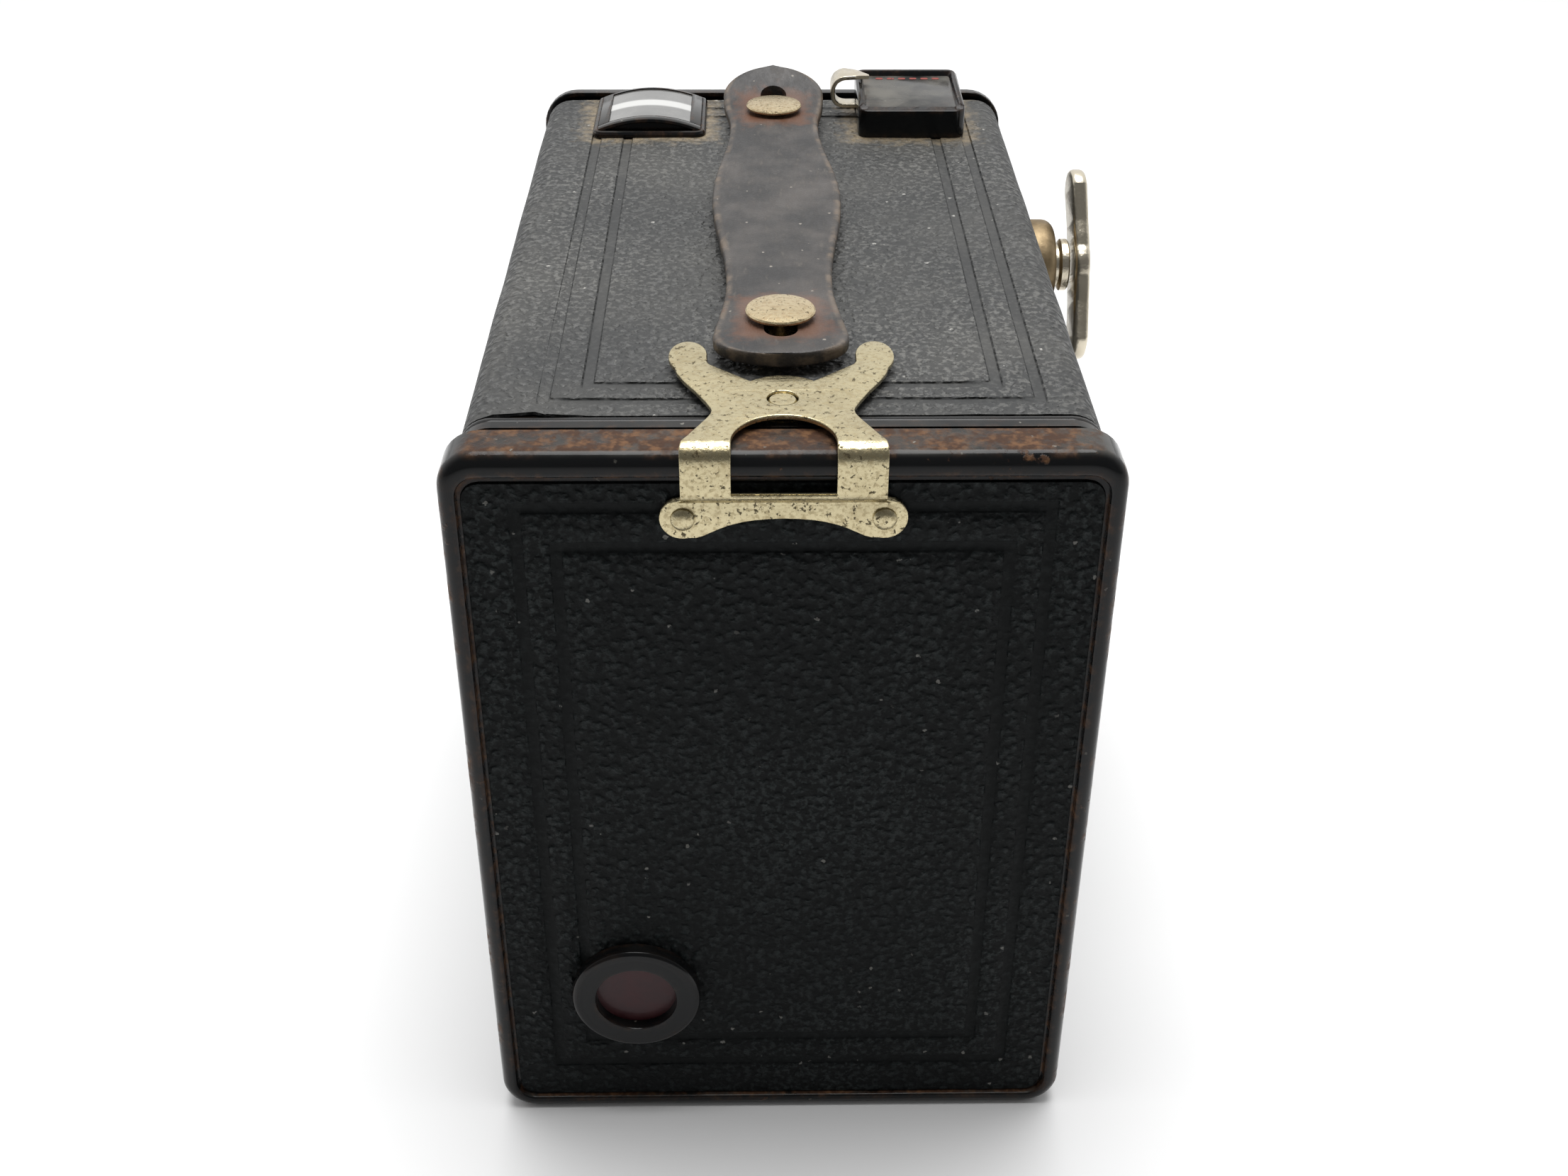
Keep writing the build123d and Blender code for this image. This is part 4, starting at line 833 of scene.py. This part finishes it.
# ---------------------------------------------------------------- front
def front_pan():
    """Pressed front with a rolled edge, a bead pressed in just inside it, and the holes for its lenses."""
    half, top = reach("front_plate", 0)[1], reach("front_plate", 2)[1]
    rear, face = (value - REAR for value in reach("front_plate", 1))
    wall = 0.8
    profile = [(1.6, face - wall), (wall, face - wall), (wall, rear), (0.15, rear), (0, rear + 0.2)]
    profile += [(1.1 - r, face - 1.1 + h) for r, h in arc((0, 0), 1.1, 0, 90, 8)]
    profile += [(2.1, face), (2.4, face - 0.12), (2.8, face - 0.3), (3.2, face - 0.3), (3.6, face - 0.12)]
    profile += [(3.9, face), (4.4, face)]
    rings = [box_ring(half - inset, inset, top - inset, 6.0 - inset, depth) for inset, depth in profile]
    holes = ((0, AXIS_Z, 9.0), (FINDER_X, TOP - 11, 5.6), (HALF_WIDTH - 10, FINDER_Z, 5.6))
    pan = cut(loft("front_pan", rings), [bore((x, REAR + rear - 1, z), (0, 1, 0), r, 5) for x, z, r in holes])
    dress(pan, "camera", FINISH["black_enamel"], ["front_plate"])


def lens_collar():
    """Smooth raised ring round the lens opening, running in towards the shutter."""
    profile = [(9.0, -0.7), (9.0, 0), (14.4, 0), (14.4, 0.7), (14.2, 1.15), (13.7, 1.6), (13.0, 2.0)]
    profile += [(12.2, 2.3), (11.3, 2.42), (10.5, 2.35), (9.6, 2.0), (8.7, 1.4), (7.8, 0.5), (7.0, -0.5)]
    profile += [(6.6, -1.2), (6.6, -1.8), (7.2, -1.8), (7.2, -0.7)]
    collar = turned("lens_collar", profile, (0, reach("front_plate", 1)[1], AXIS_Z), (0, 1, 0), steps=96)
    dress(collar, "camera", EYELET_ENAMEL, ["lens_bezel"])


# ---------------------------------------------------------------- latch
SHEET = 0.7         # the latch's spring plate
LATCH_LOW = 100.4   # lowest point of the plate, on the door
CREASE = 106.1      # height at which it steps out over the rim
BEND_R = 1.9
LATCH_END = 28.0    # how far forward its X reaches
CATCH_DEPTH = 11.9  # where the stud comes through it


def latch_path():
    """Middle line of the bent plate as (depth, z): up the panel, out over the rim, round and forward."""
    level = LATCH_TOP - SHEET / 2 + 0.1
    face = -0.75
    line = [(0.35, LATCH_LOW), (0.35, CREASE - 0.5), (0.05, CREASE - 0.1)]
    line += [(face + 0.3, CREASE + 0.4), (face, CREASE + 0.9)]
    line += [(face + BEND_R - r, level - BEND_R + h) for r, h in arc((0, 0), BEND_R, 0, 90, 10)]
    return line + [(LATCH_END, level)]


def along_path(line, far):
    """Point and left-hand normal of a polyline, far along it."""
    for (a, b), (c, d) in zip(line, line[1:]):
        length = sqrt((c - a) ** 2 + (d - b) ** 2)
        if far <= length or (c, d) == line[-1]:
            share = far / length
            return (a + (c - a) * share, b + (d - b) * share), ((b - d) / length, (c - a) / length)
        far -= length


def path_length(line):
    return sum(sqrt((c - a) ** 2 + (d - b) ** 2) for (a, b), (c, d) in zip(line, line[1:]))


def latch_spring():
    """One bent spring plate: crossbar on the door, two arms over the rim and the X-shaped top."""
    line = latch_path()
    whole = path_length(line)

    def at_z(z):
        return z - LATCH_LOW

    def at_depth(depth):
        return whole - (LATCH_END - depth)
    shoulder = at_depth(0.4)
    half = arc((0, at_depth(12.2)), 5.9, 90, 48, 6) + [(9.15, at_depth(21.2)), (9.45, at_depth(21.9))]
    half += arc((11.95, at_depth(23.5)), (2.5, 4.15), 170, -50, 20)
    arm = ((13.25, 18.8), (12.3, 16.6), (10.8, 13.9), (9.5, 11.1), (8.85, 9.5), (8.7, 8.7), (8.85, 7.8),
           (9.3, 6.7), (11.5, 2.3))
    half += [(x, at_depth(depth)) for x, depth in arm]
    half += [(12.2, shoulder + 0.7), (12.4, shoulder - 0.3), (12.4, at_z(106.4))]
    half += arc((RIVET_X, at_z(RIVET_Z)), 2.85, 75, -105, 16)
    half += [(10.6, 0.15), (9.8, 0.4), (8.7, 0.95), (7.7, 1.45), (6.6, 1.9), (5.0, 2.35), (3.6, 2.6)]
    half += [(1.8, 2.77), (0, 2.83)]
    outline = half[:-1] + [(-x, s) for x, s in reversed(half[1:])]
    opening = 6.3
    window = [(opening, at_z(CREASE + 1.3)), (opening, at_depth(0.6))]
    window += arc((0, at_depth(1.0)), (opening, 6.4), 0, 180, 24)
    window += [(-opening, at_depth(0.6)), (-opening, at_z(CREASE + 1.3))]
    stud_hole = arc((0, at_depth(CATCH_DEPTH)), 1.95, 0, 345, 23)

    def bent(x, far, out):
        (depth, z), (nd, nz) = along_path(line, min(max(far, 0.0), whole))
        dished = 0.25 * min(1.0, max(0.0, (far - at_depth(14)) / 12)) * (abs(x) / 15) ** 2
        return x, REAR + depth + nd * out, z + nz * (out + dished)
    plate = flat_plate("latch_spring", [outline, window, stud_hole], SHEET, 0.16, bent)
    dress(plate, None, FINISH["nickel"], ["latch_plate", "latch_bracket"])
    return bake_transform(plate)


def latch_trim():
    """Two rivets of the crossbar, and the stud whose end shows in the plate's hole."""
    for side, name in ((-1, "left"), (1, "right")):
        profile = [(0, 0), (0, 0.85), (0.7, 0.8), (1.15, 0.62), (1.45, 0.3), (1.5, 0), (1.5, -0.1)]
        rivet = turned(f"latch_rivet_{name}", profile, (side * RIVET_X, REAR - 0.02, RIVET_Z), (0, -1, 0), 40)
        dress(rivet, "door", FINISH["nickel"], ["latch_rivets"])
    crown = LATCH_TOP - TOP
    profile = [(0, -2), (1.8, -2), (1.8, crown - 0.35), (1.6, crown - 0.1), (0.9, crown - 0.05)]
    profile += [(0, crown - 0.15)]
    stud = turned("latch_stud_end", profile, (0, REAR + CATCH_DEPTH, TOP), (0, 0, 1), 40)
    dress(stud, "camera", FINISH["nickel"], ["latch_stud"])


# ---------------------------------------------------------------- finders
def join(name, things):
    """One object out of several, keeping each one's shells."""
    work = bmesh.new()
    for thing in things:
        work.from_mesh(thing.data)
        bpy.data.objects.remove(thing)
    mesh = bpy.data.meshes.new(name)
    work.to_mesh(mesh)
    work.free()
    return placed(name, mesh)


def on_top(u, depth, height):
    return FINDER_X + u, REAR + depth, TOP + height


def on_side(u, depth, height):
    return HALF_WIDTH + height, REAR + depth, FINDER_Z - u


ARCH_HALF, ARCH_FOOT, ARCH_RISE = 8.6, 1.05, 1.75
ARCH_BASE = 0.3             # where the hood stands in its flange
GLASS_HALF = 6.9
GLASS_DEPTHS = (113.3, 127.5)


def arch_line(half, drop, steps=20):
    """Top line of the hood between -half and half, lowered by drop."""
    us = [half * (2 * k / steps - 1) for k in range(steps + 1)]
    return [(u, ARCH_FOOT + ARCH_RISE * (1 - (u / ARCH_HALF) ** 2) - drop) for u in us]


def finder(name, put, node):
    """Flange with a beaded edge, arched hood with a bar across its rear, and the curved glass."""
    half, rear, front = 9.5, 110.2, 129.4
    rings = []
    for inset, height in ((0, 0), (0, 0.45), (0.25, 0.8), (0.6, 0.9), (0.95, 0.75), (1.2, 0.5), (1.7, 0.5)):
        outline = rounded_rectangle(inset - half, half - inset, rear + inset, front - inset, 1.9 - inset)
        rings.append([put(u, d, height) for u, d in outline])
    flange = loft("flange", rings)
    rings = []
    for drop, depth in ((0.35, 113.1), (0.08, 113.25), (0, 113.6), (0, 128.0), (0.3, 128.7), (0.9, 129.0)):
        foot = ARCH_HALF - 0.5 * drop
        line = [(-foot, ARCH_BASE)] + arch_line(foot, drop) + [(foot, ARCH_BASE)]
        rings.append([put(u, depth, h) for u, h in line])
    hood = loft("hood", rings)
    opening = arch_line(GLASS_HALF, 0.75) + [(u, h + 3) for u, h in reversed(arch_line(GLASS_HALF, 0))]
    cut(hood, [loft("cutter", [[put(u, d, h) for u, h in opening] for d in GLASS_DEPTHS])])
    rings, inner = [], ARCH_HALF - 1.3
    for drop, depth in ((0.45, 111.3), (0.1, 111.45), (0, 111.8), (0, 112.9), (0.12, 113.2)):
        line = [(-ARCH_HALF, ARCH_BASE)] + arch_line(ARCH_HALF, drop) + [(ARCH_HALF, ARCH_BASE)]
        line += [(inner, ARCH_BASE)] + arch_line(inner, 0.75 - 0.5 * drop)[::-1] + [(-inner, ARCH_BASE)]
        rings.append([put(u, depth, h) for u, h in line])
    frame_piece = join(f"{name}_frame", [flange, hood, loft("bar", rings)])
    dress(frame_piece, "camera", FINISH["black_enamel"], [node])
    pane = arch_line(GLASS_HALF - 0.05, 0.7) + list(reversed(arch_line(GLASS_HALF - 0.05, 0.22)))
    return loft(f"{name}_glass", [[put(u, d, h) for u, h in pane]
                                  for d in (GLASS_DEPTHS[0] + 0.05, GLASS_DEPTHS[1] - 0.05)])


def finders():
    top = finder("top_finder", on_top, "top_finder_frame")
    side = finder("side_finder", on_side, "side_finder_frame")
    dress(top, "camera", FINISH["finder_glass"], ["finder_glasses"])
    dress(side, "camera", FINISH["finder_glass"])


# ---------------------------------------------------------------- close-up lens: housing and lever
PLATE_TOP = TOP + 4.55


def sloping(y, height):
    """The housing's top rises a little towards the front."""
    return 0.03 * (y - HOUSING_Y[0]) * min((height - TOP) / 4.5, 1.0)


def housing():
    """Cap with a rolled bead on three sides; its plate runs out level at the rear."""
    x0, x1 = HOUSING_X
    y0, y1 = HOUSING_Y
    profile = [(0, TOP), (0, TOP + 4.5), (0.12, TOP + 5.0), (0.45, TOP + 5.35), (0.85, TOP + 5.3)]
    profile += [(1.15, TOP + 5.0), (1.3, TOP + 4.6), (1.5, PLATE_TOP - 0.2)]
    rings = []
    for inset, height in profile:
        outline = rounded_rectangle(x0 + inset, x1 - inset, y0 + inset, y1 - inset, max(1.8 - inset, 0.5), 6)
        ring = []
        for x, y in outline:
            level = TOP + 4.6 + 1.1 * max(0.0, y - y0 - 0.9)
            ring.append((x, y, min(height, level) + sloping(y, height)))
        rings.append(ring)
    cap = loft("close_up_housing", rings)
    notch = block((x0 - 1, x0 + 2.5), (120.2, 124.0), (TOP + 0.2, TOP + 3.4))
    dress(cut(cap, [notch]), "camera", FINISH["black_enamel"], ["portrait_housing"])
    rings = []
    for inset, height in ((1.35, PLATE_TOP - 0.3), (1.35, PLATE_TOP - 0.05), (1.5, PLATE_TOP)):
        outline = rounded_rectangle(x0 + inset, x1 - inset, y0 + inset - 0.75, y1 - inset, 0.6, 3)
        rings.append([(x, y, height + sloping(y, height)) for x, y in outline])
    dress(loft("housing_plate", rings), "camera", FINISH["label_black"], ["label_plate"])
    dashes, pitch, length = [], 1.95, 1.25
    for k in range(6):
        start = x0 + 3.6 + pitch * k
        outline = rounded_rectangle(start, start + length, y1 - 3.3, y1 - 2.5, 0.3, 3)
        dashes.append(loft("dash", [[(x, y, z + sloping(y, z)) for x, y in outline]
                                   for z in (PLATE_TOP - 0.1, PLATE_TOP + 0.05)]))
    dress(join("red_dashes", dashes), "camera", RED_PAINT)


def close_up_lever():
    """Flat arm and lens ring inside, and the strip that comes out of the housing and curls over its top."""
    pivot_x, pivot_z = 14.0, 104.0
    plane_depth, tab_depth = 125.0, 122.1
    lens_x, lens_z = middle("portrait_lens", 0) - pivot_x, middle("portrait_lens", 2) - pivot_z
    lean = atan2(-lens_x, -lens_z)
    out_x, out_z = cos(lean), -sin(lean)
    length = sqrt(lens_x ** 2 + lens_z ** 2) - 6.2

    def in_plane(u, v, w):
        return pivot_x + u, REAR + plane_depth + w, pivot_z + v
    end_x, end_z = -length * sin(lean), -length * cos(lean)
    arm = [(3.3 * out_x, 3.3 * out_z)] + [(end_x + s * 3 * out_x, end_z + s * 3 * out_z) for s in (1, -1)]
    arm += [(-3.3 * out_x, -3.3 * out_z), (1.2, 7.0), (1.9, 10.0), (4.9, 10.0), (4.9, 7.0)]
    ring, hole = (arc((lens_x, lens_z), radius, 0, 352, 44) for radius in (7.2, 6.0))
    plates = [flat_plate("arm", [arm], 0.8, 0.1, in_plane)]
    plates += [flat_plate("ring", [ring, hole], 0.78, 0.1, in_plane)]
    path = [(18.6, TOP + 1.9), (12.0, TOP + 1.9)] + arc((12.0, TOP + 3.7), 1.8, -90, -180, 6)[1:]
    path += arc((12.4, TOP + 4.7), (2.2, 2.15), 180, 95, 6) + [(14.4, TOP + 6.85), (16.4, TOP + 6.5)]
    whole = path_length(path)
    outline = [(1.5, 0), (1.5, 6.2), (2.3, 9.0), (2.9, 12.0), (2.9, 13.6), (2.0, 15.5), (0.3, whole)]
    outline += [(-0.3, whole), (-1.7, 15.5), (-2.0, 13.6), (-2.0, 12.0), (-1.7, 9.0), (-1.5, 6.2), (-1.5, 0)]

    def curled(u, v, w):
        (x, z), (nx, nz) = along_path(path, min(max(v, 0.0), whole))
        return x + nx * w, REAR + tab_depth + u, z + nz * w
    tab = flat_plate("tab", [outline], 0.7, 0.15, curled)
    dress(join("close_up_lever", plates + [tab]), "portrait", KEY_NICKEL, ["portrait_lever"])


# ---------------------------------------------------------------- carrying strap
STRAP_ENDS = (20.6, 126.3)
STRAP_KNOTS = ((26.3, 8.8), (43.0, 7.25), (76.0, 9.7), (107.0, 7.25), (120.6, 8.5))     # depth, half width
STRAP_JOINS = (55.0, 90.0, 117.0)
REAR_SLOT, FRONT_SLOT = (25.4, 33.8), (111.8, 122.0)
SLOT_HALF = 2.2


def strap_half_width(depth):
    """Half the strap's width: round ends, lobes round the studs, and a swelling grip between its necks."""
    first, last = STRAP_KNOTS[0], STRAP_KNOTS[-1]
    if depth < first[0]:
        return first[1] * sqrt(max(0.0, 1 - ((first[0] - depth) / (first[0] - STRAP_ENDS[0])) ** 2.3))
    if depth > last[0]:
        return last[1] * sqrt(max(0.0, 1 - ((depth - last[0]) / (STRAP_ENDS[1] - last[0])) ** 2.0))
    for (a, wa), (b, wb) in zip(STRAP_KNOTS, STRAP_KNOTS[1:]):
        if depth <= b:
            share = (depth - a) / (b - a)
            ease = share ** 0.75 if a == first[0] else share
            return wa + (wb - wa) * (0.5 - 0.5 * cos(pi * ease))


def strap_section(depth, offsets):
    """Ring of the strap's section: crowned top, rounded edges and flat underside."""
    half = max(strap_half_width(depth), 0.02)
    edge = min(0.55, half * 0.8)
    curl = 3.9 * max(0.0, (depth - 116.5) / 9.8) ** 1.5
    low, high = STRAP_LOW + curl, STRAP_TOP + curl
    ring = []
    for share in offsets:
        x = share * (half - edge)
        crown = 0.22 * (1 - share * share) + 0.1 * noise.noise(Vector((x * 0.25, depth * 0.12, 3.0)))
        ring.append((x, REAR + depth, high - 0.24 + crown))
    flat = half - edge
    side = [(flat + edge * c, REAR + depth, high - 0.8 + 0.56 * s) for c, s in arc((0, 0), 1, 75, 0, 4)]
    side += [(flat + edge * c, REAR + depth, low + 0.5 + 0.5 * s) for c, s in arc((0, 0), 1, -10, -90, 4)]
    under = [(share * flat, REAR + depth, low) for share in reversed(offsets)]
    return ring + side + under + [(-x, y, z) for x, y, z in reversed(side)]


def strap_piece(name, start, end, slot=None):
    """A length of the strap between two depths, with the slot at its end cut through."""
    offsets = [-1 + k / 8 for k in range(17)]
    depths = lines_between(start, end, 1.3)
    for tip, sign in ((STRAP_ENDS[0], 1), (STRAP_ENDS[1], -1)):
        if tip in (start, end):
            span = 6.0
            eased = [tip + sign * span * (1 - cos(pi / 2 * k / 14)) for k in range(15)]
            depths = sorted(eased + [d for d in depths if abs(d - tip) > span + 0.3])
    strap = loft(name, [strap_section(d, offsets) for d in depths])
    points = [v.co / MM for v in strap.data.vertices]
    mark(strap, "edge", [float(abs(p.x) > strap_half_width(p.y - REAR) - 0.58) for p in points])
    if slot:
        plan = arc((0, slot[0] + SLOT_HALF), SLOT_HALF, 180, 360, 12)
        plan += arc((0, slot[1] - SLOT_HALF), SLOT_HALF, 0, 180, 12)
        rings = [[(x, REAR + d, z) for x, d in plan] for z in (STRAP_LOW - 2, STRAP_TOP + 6)]
        cut(strap, [loft("cutter", rings)])
    return dress(strap, None, FINISH["strap_leather"], sharp=50)


def carrying_strap():
    """Four lengths of the strap, split at the depths in STRAP_JOINS, in place of the frame's strap pieces."""
    first, second, third = STRAP_JOINS
    rear = strap_piece("strap_rear", STRAP_ENDS[0], first, REAR_SLOT)
    grip = strap_piece("strap_grip", first, second)
    front = strap_piece("strap_front", second, third, FRONT_SLOT)
    tip = strap_piece("strap_tip", third, STRAP_ENDS[1], FRONT_SLOT)
    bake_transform(rear)
    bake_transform(grip)
    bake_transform(front)
    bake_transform(tip)
    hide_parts("strap_rear_eye")
    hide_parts("strap_rear_half", "strap_front_half")
    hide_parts("strap_front_eye")


def strap_rivets():
    """Wide flat heads with a thin rim, their necks and foot washers."""
    for depth, name in zip(STUD_DEPTHS, ("rear", "front")):
        profile = [(0, 0), (1.6, 0), (4.4, 0), (4.4, 0.9), (4.1, 1.1), (1.6, 1.1), (1.6, 3.9), (4.35, 3.9)]
        profile += [(4.6, 4.05), (4.62, 4.3), (4.45, 4.5), (3.6, 4.62), (1.8, 4.72), (0, 4.76)]
        rivet = turned(f"strap_rivet_{name}", profile, (0, REAR + depth, TOP), (0, 0, 1), 72)
        dress(rivet, "camera", STUD_NICKEL, ["strap_studs"])


# ---------------------------------------------------------------- winding key
def winding_key():
    """Pressed bar with round lobes, bowed outward a little at its middle."""
    lean = radians(33)
    inner, outer = reach("winding_key", 0)
    lobe, waist, reach_out = 4.5, 3.9, 15.5
    half = arc((0, reach_out - lobe), lobe, 20, 160, 12) + [(-waist, 6.5), (-waist - 0.3, 4.0)]
    half += arc((0, 0), 4.9, 150, 210, 6) + [(-waist - 0.3, -4.0), (-waist, -6.5)]
    outline = half + [(-u, -v) for u, v in half]
    thick = outer - inner - 0.5

    def put(u, v, w):
        bow = 0.5 * cos(min(abs(v) / reach_out, 1.0) * pi / 2)
        x = inner + thick / 2 + w + bow
        return x, REAR + KEY_DEPTH + u * cos(lean) + v * sin(lean), KEY_Z + v * cos(lean) - u * sin(lean)
    key = flat_plate("key_bar", [outline], thick, 0.8, put)
    dress(key, "key", KEY_NICKEL, ["winding_key"])


def key_fittings():
    """Domed bearing boss on the box, and the grooved collar that is drawn out with the key."""
    centre = (HALF_WIDTH, REAR + KEY_DEPTH, KEY_Z)
    profile = [(2.6, -1.2), (4.8, -1.2), (4.8, 0), (7.3, 0), (7.3, 3.3)]
    profile += [(5.3 + r, 3.3 + h) for r, h in arc((0, 0), 2.0, 0, 80, 8)] + [(2.6, 5.3)]
    boss = turned("key_bearing", profile, centre, (1, 0, 0), 64)
    dress(boss, "camera", FINISH["brass"], ["key_boss"])
    profile = [(2.6, 5.45), (3.3, 5.45), (3.3, 6.1), (3.9, 6.25), (4.2, 6.5), (4.2, 7.5)]
    profile += [(3.9, 7.75), (2.6, 7.8)]
    collar = turned("key_collar_ring", profile, centre, (1, 0, 0), 64)
    dress(collar, "key_draw", KEY_NICKEL, ["key_collar"])


# ---------------------------------------------------------------- stage, light and camera
LAMP_PLACE, LAMP_AIM = Vector((0.0, 0.10, 0.9)), Vector((0, 0, 0.05))
LAMP_WIDTH, LAMP_WATTS = 0.7, 7.8
FLOOR_HALF = 6.0            # metres, like the lamp's sizes


def overhead_light():
    lamp = bpy.data.lights.new("overhead", "AREA")
    lamp.shape, lamp.size, lamp.energy = "DISK", LAMP_WIDTH, LAMP_WATTS
    holder = placed("overhead", lamp)
    holder.location = LAMP_PLACE
    holder.rotation_euler = (LAMP_AIM - LAMP_PLACE).to_track_quat("-Z", "Y").to_euler()


def pale_floor():
    w, connect = material("pale floor", Roughness=0.6, Specular_IOR_Level=0.3)
    finish = connect(Base_Color=w.mix(w.noise(3.0), (0.93, 0.93, 0.93, 1), (0.96, 0.96, 0.96, 1)))
    corners = [(x * FLOOR_HALF, y * FLOOR_HALF, 0) for x, y in ((-1, -1), (1, -1), (1, 1), (-1, 1))]
    mesh = bpy.data.meshes.new("floor")
    mesh.from_pydata(corners, [], [(0, 1, 2, 3)])
    mesh.materials.append(finish)
    floor = placed("floor", mesh)


def studio():
    """Light in front of the lens and dim behind the door, so that the door's gloss stays dark."""
    world = bpy.data.worlds.new("studio")
    world.use_nodes = True
    w = Wiring(world.node_tree)
    towards = w.add("ShaderNodeTexCoord").outputs["Generated"]
    level = w.between(w.part(towards, "Y"), -0.5, 0.45, 0.16, 1.0)
    background = world.node_tree.nodes["Background"]
    grey = w.add("ShaderNodeCombineColor", {0: level, 1: level, 2: level}).outputs[0]
    w.give(background.inputs["Color"], grey)
    background.inputs["Strength"].default_value = 1.0
    bpy.context.scene.world = world
    bpy.context.scene.view_settings.view_transform = "Standard"


EYE = (-0.003418, -0.257356, 0.217219)      # where the viewer stands, in metres
HEADING, PITCH, ROLL = -1.05137, -33.0477, -0.31306
FOCAL_LENGTH, FILM_WIDTH = 42.267, 36.0


def camera():
    """Standing behind the door and looking down over it."""
    view = bpy.data.cameras.new("view")
    view.lens, view.sensor_width, view.clip_start = FOCAL_LENGTH, FILM_WIDTH, 0.01
    turn = Matrix.Rotation(radians(HEADING), 4, "Z") @ Matrix.Rotation(radians(PITCH), 4, "X")
    turn = turn @ Matrix.Rotation(radians(ROLL), 4, "Y") @ Matrix.Rotation(radians(90), 4, "X")
    holder = placed("view", view)
    holder.matrix_world = Matrix.Translation(EYE) @ turn
    bpy.context.scene.camera = holder


finish_frame()
body_wrap()
body_hem()
door_pan()
door_panel()
window_eyelet()
front_pan()
lens_collar()
latch_spring()
latch_trim()
carrying_strap()
strap_rivets()
winding_key()
key_fittings()
finders()
housing()
close_up_lever()
pale_floor()
studio()
overhead_light()
camera()
